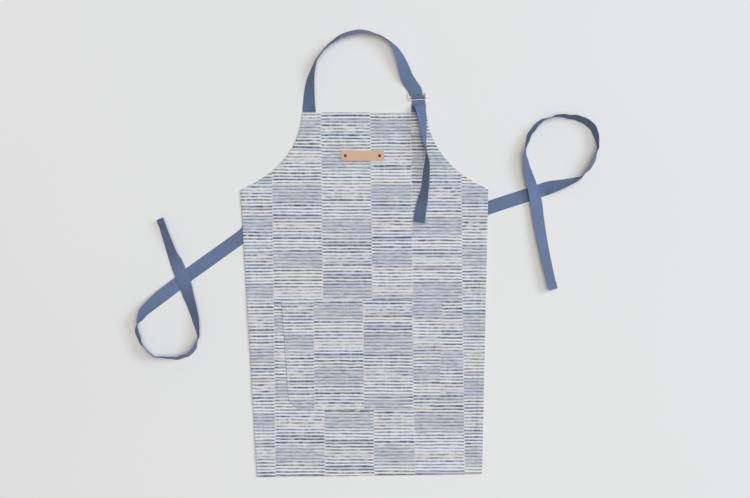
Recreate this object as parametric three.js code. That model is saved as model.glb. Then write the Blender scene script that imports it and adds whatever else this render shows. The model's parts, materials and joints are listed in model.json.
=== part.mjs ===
// A bib apron laid flat, face up: printed cotton body with a patch pocket, a leather label held by
// two rivets, an adjustable webbing neck strap with a three-bar slide, and two webbing waist ties.
// Millimetres. +X to the wearer's left, +Y towards the neck, +Z up out of the cloth's face.
// The origin is on the surface that the apron lies on, under the middle of body and neck loop.
import * as THREE from 'three';

// ---- driving dimensions ----------------------------------------------------------------------
const GAP = 0.3;                 // air kept between neighbouring solids
const CLOTH = 0.8;               // thickness of the printed canvas
const HEM_BACK = 1.2;            // turned hem and facing, two folds pressed flat
const WEBBING = { width: 30, thickness: 1.2 };

const BIB = { left: -138.5, right: 140.5, top: 315 };
const WAIST = { left: -278, right: 278.5, leftY: 141, rightY: 143.5 };
const FOOT = { left: -240.5, right: 264.5, leftY: -503.5, rightY: -497 };

const POCKET = {
  topLeft: [-186, -107], topRight: [174, -107], rightFoot: [170, -322],
  rightToe: [151, -353.5], leftToe: [-146, -353.5], leftFoot: [-170, -333],
  topHem: 28, allowance: 9,
};

const LABEL = { x: -4, y: 218.3, width: 96, height: 23, thickness: 1.8, corner: 1.5 };
const RIVET = { inset: 9.6, capRadius: 3.5, capHeight: 1.6, post: 1.1, hole: 1.5 };

const SLIDE = { x: 119.6, y: 351, turn: THREE.MathUtils.degToRad(4) };
const SLIDE_SIZE = { width: 42, height: 16, bar: 2.2, centreBar: 2.2, depth: 2.4, edge: 0.5, low: 3 };

// heights of the layers, from the surface up
const PANEL_LOW = HEM_BACK + GAP;
const PANEL_TOP = PANEL_LOW + CLOTH;
const ON_PANEL = PANEL_TOP + GAP;
const POCKET_TURN = 0.6;
const POCKET_LOW = ON_PANEL + POCKET_TURN + GAP;
const ON_POCKET = POCKET_LOW + CLOTH + GAP;
const THREAD = 0.4;

// ---- colours and finishes --------------------------------------------------------------------
const FINISH = {
  print: { color: 0xb6bbc4, roughness: 0.9, metalness: 0 },
  webbing: { color: 0x5c6f96, roughness: 0.92, metalness: 0 },
  leather: { color: 0xd3a98a, roughness: 0.6, metalness: 0 },
  rivet: { color: 0x6b3a1f, roughness: 0.35, metalness: 1 },
  slide: { color: 0xc98a72, roughness: 0.3, metalness: 1 },
  thread: { color: 0xd9d9d4, roughness: 0.85, metalness: 0 },
  threadBlue: { color: 0x4e5f86, roughness: 0.85, metalness: 0 },
};

const apron = new THREE.Group();

function add(name, geometry, finish, parent = apron) {
  const mesh = new THREE.Mesh(geometry, new THREE.MeshStandardMaterial(FINISH[finish]));
  mesh.name = name;
  parent.add(mesh);
  return mesh;
}

// ---- flat cloth pieces -----------------------------------------------------------------------
function plate(shape, low, thickness, curveSegments = 10) {
  const geometry = new THREE.ExtrudeGeometry(shape, {
    depth: thickness, bevelEnabled: false, curveSegments,
  });
  return geometry.translate(0, 0, low);
}

function polygon(points) {
  return new THREE.Shape(points.map(([x, y]) => new THREE.Vector2(x, y)));
}

function rectangle(x0, y0, x1, y1) {
  return polygon([[x0, y0], [x1, y0], [x1, y1], [x0, y1]]);
}

function roundHole(x, y, radius) {
  const hole = new THREE.Path();
  hole.absarc(x, y, radius, 0, Math.PI * 2, true);
  return hole;
}

// A strip of even width just inside a run of edge points; the cloth lies to the left of the run.
function edgeStrip(run, inset, width) {
  const offset = (distance) => run.map((point, i) => {
    const before = run[Math.max(i - 1, 0)];
    const after = run[Math.min(i + 1, run.length - 1)];
    const along = new THREE.Vector2().subVectors(after, before).normalize();
    return new THREE.Vector2(point.x - along.y * distance, point.y + along.x * distance);
  });
  return new THREE.Shape([...offset(inset), ...offset(inset + width).reverse()]);
}

// The armholes, each a quarter-round sweep from the bib's top corner to the waist corner.
const leftArmhole = new THREE.CubicBezierCurve(
  new THREE.Vector2(BIB.left, BIB.top), new THREE.Vector2(-147.5, 224.5),
  new THREE.Vector2(-194, 179.5), new THREE.Vector2(WAIST.left, WAIST.leftY));
const rightArmhole = new THREE.CubicBezierCurve(
  new THREE.Vector2(BIB.right, BIB.top), new THREE.Vector2(143, 240),
  new THREE.Vector2(200, 175), new THREE.Vector2(WAIST.right, WAIST.rightY));

const rivetPlaces = {
  left: [LABEL.x - LABEL.width / 2 + RIVET.inset, LABEL.y],
  right: [LABEL.x + LABEL.width / 2 - RIVET.inset, LABEL.y],
};

function bodyOutline() {
  const shape = new THREE.Shape();
  shape.moveTo(FOOT.left, FOOT.leftY);
  shape.lineTo(FOOT.right, FOOT.rightY);
  shape.lineTo(WAIST.right, WAIST.rightY);
  shape.bezierCurveTo(rightArmhole.v2.x, rightArmhole.v2.y, rightArmhole.v1.x,
    rightArmhole.v1.y, BIB.right, BIB.top);
  shape.lineTo(BIB.left, BIB.top);
  shape.bezierCurveTo(leftArmhole.v1.x, leftArmhole.v1.y, leftArmhole.v2.x,
    leftArmhole.v2.y, WAIST.left, WAIST.leftY);
  shape.holes = Object.values(rivetPlaces).map(([x, y]) => roundHole(x, y, RIVET.hole));
  return shape;
}

// The x of a side edge at a height y, measured along its straight line.
function sideX(side, y) {
  const top = [WAIST[side], WAIST[`${side}Y`]];
  const foot = [FOOT[side], FOOT[`${side}Y`]];
  return top[0] + (foot[0] - top[0]) * (y - top[1]) / (foot[1] - top[1]);
}

function makeBody() {
  add('body_panel', plate(bodyOutline(), PANEL_LOW, CLOTH, 12), 'print');
  const hemInset = 1;
  const hemWidth = 11;
  const point = (x, y) => new THREE.Vector2(x, y);

  // hems at the back: the straps' sewn ends sit between them, in the same layer
  const bibHem = rectangle(-106, BIB.top - 29, 103, BIB.top - 1);
  add('bib_top_hem', plate(bibHem, 0, HEM_BACK), 'print');

  const armholeStart = 0.3;
  const armholeRun = (curve) => Array.from({ length: 11 }, (_, i) =>
    curve.getPoint(armholeStart + (0.985 - armholeStart) * i / 10));
  const leftRun = [...armholeRun(leftArmhole), point(sideX('left', 116), 116)];
  const rightRun = [...armholeRun(rightArmhole), point(sideX('right', 124), 124)].reverse();
  add('left_armhole_hem', plate(edgeStrip(leftRun, hemInset, hemWidth), 0, HEM_BACK), 'print');
  add('right_armhole_hem', plate(edgeStrip(rightRun, hemInset, hemWidth), 0, HEM_BACK), 'print');

  const bottomHem = 26;
  const sideFoot = FOOT.rightY + bottomHem + 2;
  const leftSide = [point(sideX('left', 12), 12), point(sideX('left', sideFoot), sideFoot)];
  const rightSide = [point(sideX('right', sideFoot), sideFoot), point(sideX('right', 74), 74)];
  add('left_side_hem', plate(edgeStrip(leftSide, hemInset, hemWidth), 0, HEM_BACK), 'print');
  add('right_side_hem', plate(edgeStrip(rightSide, hemInset, hemWidth), 0, HEM_BACK), 'print');
  const footRun = [point(FOOT.left + 2, FOOT.leftY), point(FOOT.right - 2, FOOT.rightY)];
  add('bottom_hem', plate(edgeStrip(footRun, hemInset, bottomHem - hemInset), 0, HEM_BACK), 'print');
}

// ---- pocket ----------------------------------------------------------------------------------
function makePocket() {
  const { topLeft, topRight, rightFoot, rightToe, leftToe, leftFoot, topHem, allowance } = POCKET;
  const outline = [topLeft, leftFoot, leftToe, rightToe, rightFoot, topRight];
  add('pocket_panel', plate(polygon(outline), POCKET_LOW, CLOTH), 'print');

  const hemFoot = topLeft[1] - topHem;
  const hem = rectangle(topLeft[0] + 3, hemFoot, topRight[0] - 2, topLeft[1] - 1);
  add('pocket_top_hem', plate(hem, ON_PANEL, POCKET_TURN), 'print');

  // the turned-under edge down one side, across the foot and up the other side
  const start = hemFoot - 1;
  const run = [[topLeft[0] + 2.5, start], leftFoot, leftToe, rightToe, rightFoot, [topRight[0] - 1, start]]
    .map(([x, y]) => new THREE.Vector2(x, y));
  add('pocket_seam_allowance', plate(edgeStrip(run, 1, allowance), ON_PANEL, POCKET_TURN), 'print');

  const tack = { width: 12, height: 2.4, in: 3 };
  const tackY = topLeft[1] - tack.in;
  const left = rectangle(topLeft[0] + tack.in, tackY - tack.height, topLeft[0] + tack.in + tack.width, tackY);
  const tackRight = topRight[0] - tack.in;
  const right = rectangle(tackRight - tack.width, tackY - tack.height, tackRight, tackY);
  add('pocket_left_bar_tack', plate(left, ON_POCKET, THREAD), 'thread');
  add('pocket_right_bar_tack', plate(right, ON_POCKET, THREAD), 'thread');
}

// ---- leather label and its rivets ------------------------------------------------------------
function makeLabel() {
  const { x, y, width, height, thickness, corner } = LABEL;
  const left = x - width / 2;
  const right = x + width / 2;
  const low = y - height / 2;
  const top = y + height / 2;
  const shape = new THREE.Shape();
  shape.moveTo(left + corner, low);
  shape.lineTo(right - corner, low);
  shape.absarc(right - corner, low + corner, corner, -Math.PI / 2, 0);
  shape.lineTo(right, top - corner);
  shape.absarc(right - corner, top - corner, corner, 0, Math.PI / 2);
  shape.lineTo(left + corner, top);
  shape.absarc(left + corner, top - corner, corner, Math.PI / 2, Math.PI);
  shape.lineTo(left, low + corner);
  shape.absarc(left + corner, low + corner, corner, Math.PI, Math.PI * 1.5);
  shape.holes = Object.values(rivetPlaces).map(([px, py]) => roundHole(px, py, RIVET.hole));
  add('leather_label', plate(shape, ON_PANEL, thickness, 4), 'leather');

  const capLow = ON_PANEL + thickness + GAP;
  const washerTop = HEM_BACK;
  for (const [side, [px, py]] of Object.entries(rivetPlaces)) {
    const rivet = add(`${side}_rivet`, rivetGeometry(capLow, 0.2), 'rivet');
    rivet.position.set(px, py, 0);
    const washer = add(`${side}_rivet_washer`, washerGeometry(0.2, washerTop), 'rivet');
    washer.position.set(px, py, 0);
  }
}

// A domed cap in one piece with the post that goes down through leather and cloth.
function rivetGeometry(capLow, postFoot) {
  const { capRadius, capHeight, post } = RIVET;
  const profile = [[0, postFoot], [post, postFoot], [post, capLow], [capRadius, capLow]];
  const domeSteps = 5;
  for (let i = 1; i <= domeSteps; i += 1) {
    const angle = Math.PI / 2 * i / domeSteps;
    const rim = 0.4;
    profile.push([capRadius * Math.cos(angle), capLow + rim + (capHeight - rim) * Math.sin(angle)]);
  }
  profile[profile.length - 1][0] = 0;
  const points = profile.map(([r, z]) => new THREE.Vector2(r, z));
  return new THREE.LatheGeometry(points, 20).rotateX(Math.PI / 2);
}

function washerGeometry(low, top) {
  const hole = RIVET.post + GAP;
  const rim = RIVET.capRadius;
  const points = [[hole, low], [rim, low], [rim, top], [hole, top], [hole, low]]
    .map(([r, z]) => new THREE.Vector2(r, z));
  return new THREE.LatheGeometry(points, 20).rotateX(Math.PI / 2);
}

// ---- webbing ---------------------------------------------------------------------------------
// A station is [x, y, lean, base]: lean in degrees turns the webbing about its run, positive
// raising its left edge, and base is the height that its low edge rests at.
function settle([x, y, lean = 0, base = 0]) {
  const angle = THREE.MathUtils.degToRad(lean);
  const { width, thickness } = WEBBING;
  const rise = (width * Math.abs(Math.sin(angle)) + thickness * Math.abs(Math.cos(angle))) / 2;
  return { place: new THREE.Vector3(x, y, base + rise), lean: angle };
}

// One length of webbing through settled stations, as a closed band of even width and thickness.
// A piece can be a stretch of the route only, and lie beside it on its upper face (offset).
function webbing(stations, steps, piece = {}) {
  const { from = 0, to = 1, offset = 0, width = WEBBING.width, thickness = WEBBING.thickness } = piece;
  const path = new THREE.CatmullRomCurve3(stations.map((s) => s.place), false, 'centripetal');
  path.arcLengthDivisions = 400;
  const turns = new THREE.CatmullRomCurve3(
    stations.map((s) => new THREE.Vector3(s.lean, 0, 0)), false, 'catmullrom', 0.5);
  const up = new THREE.Vector3(0, 0, 1);
  const positions = [];
  let side = null;
  for (let i = 0; i <= steps; i += 1) {
    const t = path.getUtoTmapping(from + (to - from) * i / steps);
    const centre = path.getPoint(t);
    const along = path.getTangent(t);
    const level = new THREE.Vector3().crossVectors(up, along);
    const steep = level.length() < 0.35;
    if (side && steep) level.copy(side).addScaledVector(along, -side.dot(along));
    if (side && level.dot(side) < 0) level.negate();
    side = level.normalize().clone();
    const lean = turns.getPoint(t).x;
    const lift = new THREE.Vector3().crossVectors(along, side);
    const across = side.clone().multiplyScalar(Math.cos(lean)).addScaledVector(lift, Math.sin(lean));
    const face = new THREE.Vector3().crossVectors(along, across);
    for (const [w, f] of [[1, 1], [-1, 1], [-1, -1], [1, -1]]) {
      const corner = centre.clone().addScaledVector(across, w * width / 2);
      corner.addScaledVector(face, offset + f * thickness / 2);
      positions.push(corner.x, corner.y, corner.z);
    }
  }
  const index = [3, 2, 1, 3, 1, 0];
  for (let i = 0; i < steps; i += 1) {
    for (let k = 0; k < 4; k += 1) {
      const a = i * 4 + k;
      const b = i * 4 + (k + 1) % 4;
      // face and back are split along the same diagonal, so that a twist keeps them apart
      const [p, q, r, s] = k < 2 ? [a, b, b + 4, a + 4] : [b, b + 4, a + 4, a];
      index.push(p, q, r, p, r, s);
    }
  }
  const last = steps * 4;
  index.push(last, last + 1, last + 2, last, last + 2, last + 3);
  const geometry = new THREE.BufferGeometry();
  geometry.setAttribute('position', new THREE.Float32BufferAttribute(positions, 3));
  geometry.setIndex(index);
  return geometry;
}

// The end of a strap, turned back on itself and sewn: a second layer over its last stretch.
function endFold(stations, from = 0.95) {
  const thickness = 0.8;
  const offset = (WEBBING.thickness + thickness) / 2 + GAP;
  return webbing(stations, 3, { from, to: 0.999, offset, width: WEBBING.width - 2, thickness });
}

// A square of lockstitch with a cross inside, sewn through cloth and strap.
function stitchBox(x, y, low) {
  const half = 11;
  const line = 0.8;
  const shape = rectangle(x - half, y - half, x + half, y + half);
  const inner = half - line;
  const slack = line * 1.2;
  for (let quarter = 0; quarter < 4; quarter += 1) {
    const turn = quarter * Math.PI / 2;
    const hole = [[inner, slack - inner], [inner, inner - slack], [slack, 0]].map(([u, v]) =>
      new THREE.Vector2(x + u * Math.cos(turn) - v * Math.sin(turn),
        y + u * Math.sin(turn) + v * Math.cos(turn)));
    shape.holes.push(new THREE.Path(hole));
  }
  return plate(shape, low, THREAD);
}

// ---- neck strap and slide --------------------------------------------------------------------
const STRAP_LEFT = -124;         // centre of the strap's sewn end behind the bib's left corner
const STRAP_RIGHT = 120.4;       // and of the adjusting end behind the right corner
const ROOT_LOW = 262;
const FOLD_ROOM = ON_PANEL + 1.2; // the tail's end stands clear of the cloth for its turned layer

const slideGroup = new THREE.Group();
slideGroup.position.set(SLIDE.x, SLIDE.y, 0);
slideGroup.rotation.z = SLIDE.turn;
apron.add(slideGroup);

// A point given in the slide's own frame, in the apron's frame.
function fromSlide(x, y) {
  const cos = Math.cos(SLIDE.turn);
  const sin = Math.sin(SLIDE.turn);
  return [SLIDE.x + x * cos - y * sin, SLIDE.y + x * sin + y * cos];
}

function slideGeometry() {
  const { width, height, bar, centreBar, depth, edge, low } = SLIDE_SIZE;
  const corner = 3;
  const w = width / 2;
  const h = height / 2;
  const shape = new THREE.Shape();
  shape.moveTo(-w + corner, -h);
  shape.lineTo(w - corner, -h);
  shape.absarc(w - corner, -h + corner, corner, -Math.PI / 2, 0);
  shape.absarc(w - corner, h - corner, corner, 0, Math.PI / 2);
  shape.absarc(-w + corner, h - corner, corner, Math.PI / 2, Math.PI);
  shape.absarc(-w + corner, -h + corner, corner, Math.PI, Math.PI * 1.5);
  const windowX = w - bar;
  for (const [y0, y1] of [[-h + bar, -centreBar / 2], [centreBar / 2, h - bar]]) {
    const hole = [[-windowX, y0], [-windowX, y1], [windowX, y1], [windowX, y0]];
    shape.holes.push(new THREE.Path(hole.map(([x, y]) => new THREE.Vector2(x, y))));
  }
  const geometry = new THREE.ExtrudeGeometry(shape, {
    depth: depth - 2 * edge, bevelEnabled: true, bevelThickness: edge, bevelSize: edge,
    bevelOffset: -edge, bevelSegments: 2, curveSegments: 5,
  });
  return geometry.translate(0, 0, low + edge);
}

// Height of the strap's middle as it passes under the slide, and where it bends round a bar.
const UNDER = WEBBING.thickness / 2;
const OVER = UNDER + WEBBING.thickness + GAP;
const BAR_Z = SLIDE_SIZE.low + SLIDE_SIZE.depth / 2;
const BEND = 2.35;
const BEND_END = 11;
const IN_SLIDE = 1.6;            // the adjusting strap's middle, across the slide

function station(x, y, z) {
  return { place: new THREE.Vector3(x, y, z), lean: 0 };
}

// From under the slide, up round its middle bar, down through the window and out below the low bar.
function strapBend() {
  const x = IN_SLIDE;
  const stations = [station(x, -BEND_END, UNDER), station(x, -8, UNDER), station(x, -4, UNDER + 0.15)];
  for (let degrees = -90; degrees <= 150; degrees += 30) {
    const angle = THREE.MathUtils.degToRad(degrees);
    stations.push(station(x, BEND * Math.cos(angle), BAR_Z + BEND * Math.sin(angle)));
  }
  stations.push(station(x, -3.3, 3.5), station(x, -4.4, 2.35), station(x, -6, OVER));
  stations.push(station(x, -BEND_END, OVER));
  return webbing(stations, 44);
}

const LOOP_END = 26.8;
const LOOP_TOP = -11.4;
const LOOP_X = -3.4;             // the loop's middle at the bar; the run leans off to the left above it
const LOOP_RUN = [[21.5, -8.3], [17, -5.6], [13, -3.9], [9.6, LOOP_X]];

// The strap's other end, folded round the top bar and sewn back under itself.
function endLoop() {
  const barY = (SLIDE_SIZE.height - SLIDE_SIZE.bar) / 2;
  const stations = [station(LOOP_TOP, LOOP_END, OVER)];
  [2.5, 3.3, 4.6, 6.05].forEach((z, i) => stations.push(station(LOOP_RUN[i][1], LOOP_RUN[i][0], z)));
  for (let degrees = 90; degrees <= 270; degrees += 30) {
    const angle = THREE.MathUtils.degToRad(degrees);
    stations.push(station(LOOP_X, barY + BEND * Math.cos(angle), BAR_Z + BEND * Math.sin(angle)));
  }
  [UNDER + 0.6, UNDER + 0.15, UNDER, UNDER].forEach((z, i) =>
    stations.push(station(LOOP_RUN[3 - i][1], LOOP_RUN[3 - i][0], z)));
  stations.push(station(LOOP_TOP, LOOP_END, UNDER));
  return webbing(stations, 52);
}

function makeNeckStrap() {
  const rootTop = BIB.top + 4;
  const rootStitchY = BIB.top - 17;
  const leftRoot = [[STRAP_LEFT, ROOT_LOW], [STRAP_LEFT, 290], [STRAP_LEFT, rootTop]];
  add('neck_strap_root', webbing(leftRoot.map(settle), 2), 'webbing');
  add('neck_strap_stitch_box', stitchBox(STRAP_LEFT, rootStitchY, ON_PANEL), 'thread');

  const loopTop = fromSlide(LOOP_TOP - 0.36, LOOP_END + 0.62);
  const beyond = fromSlide(LOOP_TOP - 3.6, LOOP_END + 6.2);
  const arch = [
    [STRAP_LEFT, rootTop + GAP], [-124, 332, 22], [-123.2, 359, 36], [-120, 388.7, 54],
    [-112.3, 419, 74], [-101.3, 441.6, 81], [-83.5, 461.8, 78], [-60.8, 480.5, 71],
    [-38.9, 490.6, 67], [-15.1, 496.4, 68], [8.6, 495.6, 76], [32.6, 488.2, 84],
    [56.9, 474.5, 84], [69.8, 459.5, 70], [79.4, 442.2, 55], [88.8, 416.6, 34],
    [96, 394.5, 18, 0.3], [...beyond, 2, OVER - UNDER], [...loopTop, 0, OVER - UNDER],
  ];
  const settled = arch.map(([x, y, lean, base]) => settle([x, y, -(lean || 0), base]));
  add('neck_strap', webbing(settled, 64), 'webbing');

  add('slide_buckle', slideGeometry(), 'slide', slideGroup);
  add('neck_strap_end_loop', endLoop(), 'webbing', slideGroup);
  add('adjuster_strap_bend', strapBend(), 'webbing', slideGroup);
  const loopStitch = plate(rectangle(-13, 0, 13, 1), 0, THREAD);
  const loopRun = Math.atan2(LOOP_RUN[0][1] - LOOP_TOP, LOOP_END - LOOP_RUN[0][0]);
  loopStitch.rotateZ(loopRun).translate(LOOP_TOP + 1.25, LOOP_END - 2.1, OVER + UNDER + GAP + 0.1);
  add('end_loop_stitch_row', loopStitch, 'threadBlue', slideGroup);

  const rightRoot = [[STRAP_RIGHT, ROOT_LOW], [STRAP_RIGHT, 290], [STRAP_RIGHT, rootTop]];
  add('adjuster_strap_root', webbing(rightRoot.map(settle), 2), 'webbing');
  add('adjuster_strap_stitch_box', stitchBox(STRAP_RIGHT, rootStitchY, ON_PANEL), 'thread');
  const low = fromSlide(IN_SLIDE, -BEND_END - GAP);
  const lower = fromSlide(IN_SLIDE, -BEND_END - 6);
  const leave = fromSlide(IN_SLIDE, -BEND_END - 3.3);
  const rise = [[STRAP_RIGHT, rootTop + GAP], [STRAP_RIGHT, rootTop + 6], lower, low];
  add('adjuster_strap', webbing(rise.map(settle), 6), 'webbing');

  const tail = [
    [...low, 0, OVER - UNDER], [...leave, -4, OVER - UNDER], [123.9, 331.5, -20, 2],
    [125.8, 325.5, -35, ON_PANEL], [127.6, 317, -42, ON_PANEL], [129.4, 306, -48, ON_PANEL],
    [131, 296, -54, ON_PANEL], [133.2, 274, -63, ON_PANEL],
    [135.6, 249, -76, ON_PANEL], [139.6, 226.7, -90, ON_PANEL], [140.8, 205, -108, ON_PANEL],
    [139.5, 184, -118, ON_PANEL], [138, 161.4, -122, ON_PANEL], [135.5, 141, -126, ON_PANEL],
    [131.2, 118.7, -138, ON_PANEL], [127, 98.4, -146, FOLD_ROOM], [123.1, 68, -150, FOLD_ROOM],
  ].map(settle);
  add('adjuster_strap_tail', webbing(tail, 44), 'webbing');
  add('tail_end_fold', endFold(tail), 'webbing');
}

// ---- waist ties ------------------------------------------------------------------------------
// The tie's route from its sewn end: behind the panel to the fold, then out over the surface.
const OVER_RUN = WEBBING.thickness + GAP + 0.8; // where the tie crosses over its own first run
const TIES = {
  left: {
    root: [[-257, 104], [-256.5, 78], [-259, 58], [-268, 43], [-279, 34.1], [-289.6, 26.4]],
    free: [
      [-290.2, 25.97], [-318, 6], [-360, -24.1], [-396, -50], [-419.4, -69, -1],
      [-434, -80.5, -6], [-450, -92.8, -12], [-477, -115.3, -30], [-494.4, -132, -48],
      [-504.5, -150, -74], [-510, -169, -108], [-505, -192, -112], [-492.6, -211.9, -98],
      [-475.9, -229.5, -94], [-458, -234, -98], [-442.5, -235.4, -102], [-425, -235.6, -104],
      [-409, -234, -106], [-396, -228.5, -105], [-384.5, -218, -104], [-376.5, -203.5, -97],
      [-372.5, -188, -78], [-374, -170, -66], [-377.5, -152.5, -55], [-385.6, -122.8, -43, 0.4],
      [-394.2, -96.8, -30, 1.6], [-402.4, -70.8, -14, OVER_RUN], [-414.6, -41.1, -8, OVER_RUN],
      [-423, -20, -22, 0.8], [-430.2, -3.9, -37], [-443.2, 33.2, -48], [-453.4, 62.9, -53],
      [-458, 76.3, -53],
    ],
  },
  right: {
    root: [[233, 86], [250, 91], [266, 96.5], [280, 101.4], [288.2, 104.3]],
    free: [
      [288.9, 104.55], [315, 113.2], [345, 122.8], [380, 134.3], [395, 139.4], [403, 142.2, -1],
      [413.4, 146, -14], [435.3, 151.7, -38], [461.6, 159.6, -60], [479.2, 166.5, -76],
      [492, 175, -94], [505.5, 191.2, -104], [517, 211.8, -106], [523, 229.4, -96],
      [523.5, 246.9, -84], [518.6, 268.8, -71], [503.3, 290.8, -67], [479.2, 301.5, -70],
      [448.5, 307, -80], [428.7, 306.8, -86], [411.2, 302, -96], [391.5, 291, -104],
      [376.1, 273.2, -106], [367, 253.5, -100], [362.2, 237, -92], [361, 222.8, -74],
      [362.9, 200.9, -61], [368.2, 178.9, -49, 0.8], [374.3, 157, -38, OVER_RUN],
      [380.9, 135.1, -29, OVER_RUN], [385.8, 113.1, -23, OVER_RUN], [389.7, 86.8, -26, 0.4],
      [395.4, 51.7, -34], [403.7, 7.9, -40], [413.4, -36, -45], [424.5, -82, -48],
    ],
  },
};

function makeTie(side) {
  const { root, free } = TIES[side];
  add(`${side}_tie_root`, webbing(root.map(settle), 14), 'webbing');
  const route = free.map(settle);
  add(`${side}_tie`, webbing(route, 76), 'webbing');
  add(`${side}_tie_end_fold`, endFold(route, 0.983), 'webbing');
  const [sewn, next] = root;
  const alongX = (next[0] - sewn[0]) * 0.55;
  const alongY = (next[1] - sewn[1]) * 0.55;
  add(`${side}_tie_stitch_box`, stitchBox(sewn[0] + alongX, sewn[1] + alongY, ON_PANEL), 'thread');
}

makeBody();
makePocket();
makeLabel();
makeNeckStrap();
makeTie('left');
makeTie('right');

export default apron;
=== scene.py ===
"""Bib apron laid flat, face up: printed canvas, webbing straps, a metal slide and a riveted label.

Metres, in the frame of the CAD model: +X to the right of the face, +Y to the neck, +Z up.
"""

import json
import math

import bpy
import numpy as np
from bpy.props import FloatProperty, FloatVectorProperty, PointerProperty
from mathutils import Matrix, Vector


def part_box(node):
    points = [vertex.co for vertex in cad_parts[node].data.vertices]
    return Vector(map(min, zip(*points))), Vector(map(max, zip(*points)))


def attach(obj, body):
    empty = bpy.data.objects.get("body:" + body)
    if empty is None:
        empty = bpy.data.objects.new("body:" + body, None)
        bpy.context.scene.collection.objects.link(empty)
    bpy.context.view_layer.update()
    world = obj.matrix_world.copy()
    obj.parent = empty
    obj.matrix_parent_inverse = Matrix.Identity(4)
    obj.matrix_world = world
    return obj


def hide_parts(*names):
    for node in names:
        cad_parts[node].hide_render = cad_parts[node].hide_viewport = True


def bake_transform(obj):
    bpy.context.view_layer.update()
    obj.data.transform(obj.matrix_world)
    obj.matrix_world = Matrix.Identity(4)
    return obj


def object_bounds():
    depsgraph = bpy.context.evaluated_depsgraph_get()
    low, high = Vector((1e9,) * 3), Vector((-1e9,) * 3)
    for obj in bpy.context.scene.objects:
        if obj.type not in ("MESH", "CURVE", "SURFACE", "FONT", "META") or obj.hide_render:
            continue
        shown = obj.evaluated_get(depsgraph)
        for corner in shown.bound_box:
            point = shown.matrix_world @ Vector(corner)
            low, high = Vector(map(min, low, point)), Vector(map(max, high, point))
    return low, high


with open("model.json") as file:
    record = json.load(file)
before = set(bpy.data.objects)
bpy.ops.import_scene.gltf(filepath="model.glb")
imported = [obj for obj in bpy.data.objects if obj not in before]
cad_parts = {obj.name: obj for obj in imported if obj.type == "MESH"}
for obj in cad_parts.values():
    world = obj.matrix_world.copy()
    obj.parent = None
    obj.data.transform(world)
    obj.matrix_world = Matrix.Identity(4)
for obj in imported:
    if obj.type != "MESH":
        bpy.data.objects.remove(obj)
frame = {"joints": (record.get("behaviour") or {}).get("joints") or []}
CAD_LOW, CAD_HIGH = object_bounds()

bl_info = {
    "name": "Bib apron",
    "version": (1, 0, 0),
    "blender": (4, 5, 0),
    "location": "View3D > Sidebar > Apron",
    "description": "Makes a bib apron in printed canvas with webbing straps",
    "category": "Add Mesh",
}

MM = 0.001
CANVAS = 0.8 * MM                # one layer of the printed canvas
TURNED = 1.2 * MM                # a turned hem pressed flat
AIR = 0.15 * MM                  # the least space kept between two layers
ON_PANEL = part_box("leather_label")[0].z


# ---- settings --------------------------------------------------------------------------------
class PrintSettings(bpy.types.PropertyGroup):
    """The printed canvas: brushed stripes in columns, broken by washed blocks"""

    pitch: FloatProperty(
        name="Stripe pitch", description="From one brushed stripe to the next",
        default=0.0073, min=0.002, max=0.05, unit="LENGTH")
    column: FloatProperty(
        name="Column width", description="Width of a full column of the print",
        default=0.111, min=0.02, max=0.5, unit="LENGTH")
    block: FloatProperty(
        name="Block repeat", description="Height of a striped block and a washed block together",
        default=0.147, min=0.02, max=0.5, unit="LENGTH")
    ground: FloatVectorProperty(
        name="Ground", description="Unprinted cloth", subtype="COLOR",
        default=(0.868, 0.866, 0.842), min=0, max=1)
    stroke: FloatVectorProperty(
        name="Stroke", description="Brushed stripes", subtype="COLOR",
        default=(0.070, 0.104, 0.212), min=0, max=1)
    wash: FloatVectorProperty(
        name="Wash", description="Washed blocks", subtype="COLOR",
        default=(0.535, 0.578, 0.685), min=0, max=1)
    swell: FloatProperty(
        name="Swell", description="How far the cloth stands off the surface in its soft waves",
        default=0.0026, min=0, max=0.01, unit="LENGTH")


class WebbingSettings(bpy.types.PropertyGroup):
    """The webbing of the neck strap and the waist ties"""

    width: FloatProperty(
        name="Width", description="Width of the webbing",
        default=0.030, min=0.01, max=0.06, unit="LENGTH")
    thickness: FloatProperty(
        name="Thickness", description="Thickness of the webbing",
        default=0.0012, min=0.0005, max=0.004, unit="LENGTH")
    color: FloatVectorProperty(
        name="Colour", description="Dyed yarn", subtype="COLOR",
        default=(0.154, 0.212, 0.356), min=0, max=1)
    rib: FloatProperty(
        name="Rib", description="From one rib of the weave to the next",
        default=0.0011, min=0.0003, max=0.005, unit="LENGTH")


class TrimSettings(bpy.types.PropertyGroup):
    """Leather, metal and sewing thread"""

    leather: FloatVectorProperty(
        name="Leather", description="Label leather", subtype="COLOR",
        default=(0.83, 0.445, 0.240), min=0, max=1)
    copper: FloatVectorProperty(
        name="Slide", description="Plating of the slide", subtype="COLOR",
        default=(0.78, 0.62, 0.60), min=0, max=1)
    rivet: FloatVectorProperty(
        name="Rivet", description="Antique copper of the rivets", subtype="COLOR",
        default=(0.15, 0.062, 0.032), min=0, max=1)
    thread: FloatVectorProperty(
        name="Thread", description="Topstitching thread", subtype="COLOR",
        default=(0.66, 0.67, 0.66), min=0, max=1)
    stitch: FloatProperty(
        name="Stitch length", description="From one stitch to the next",
        default=0.0032, min=0.001, max=0.01, unit="LENGTH")


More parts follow.
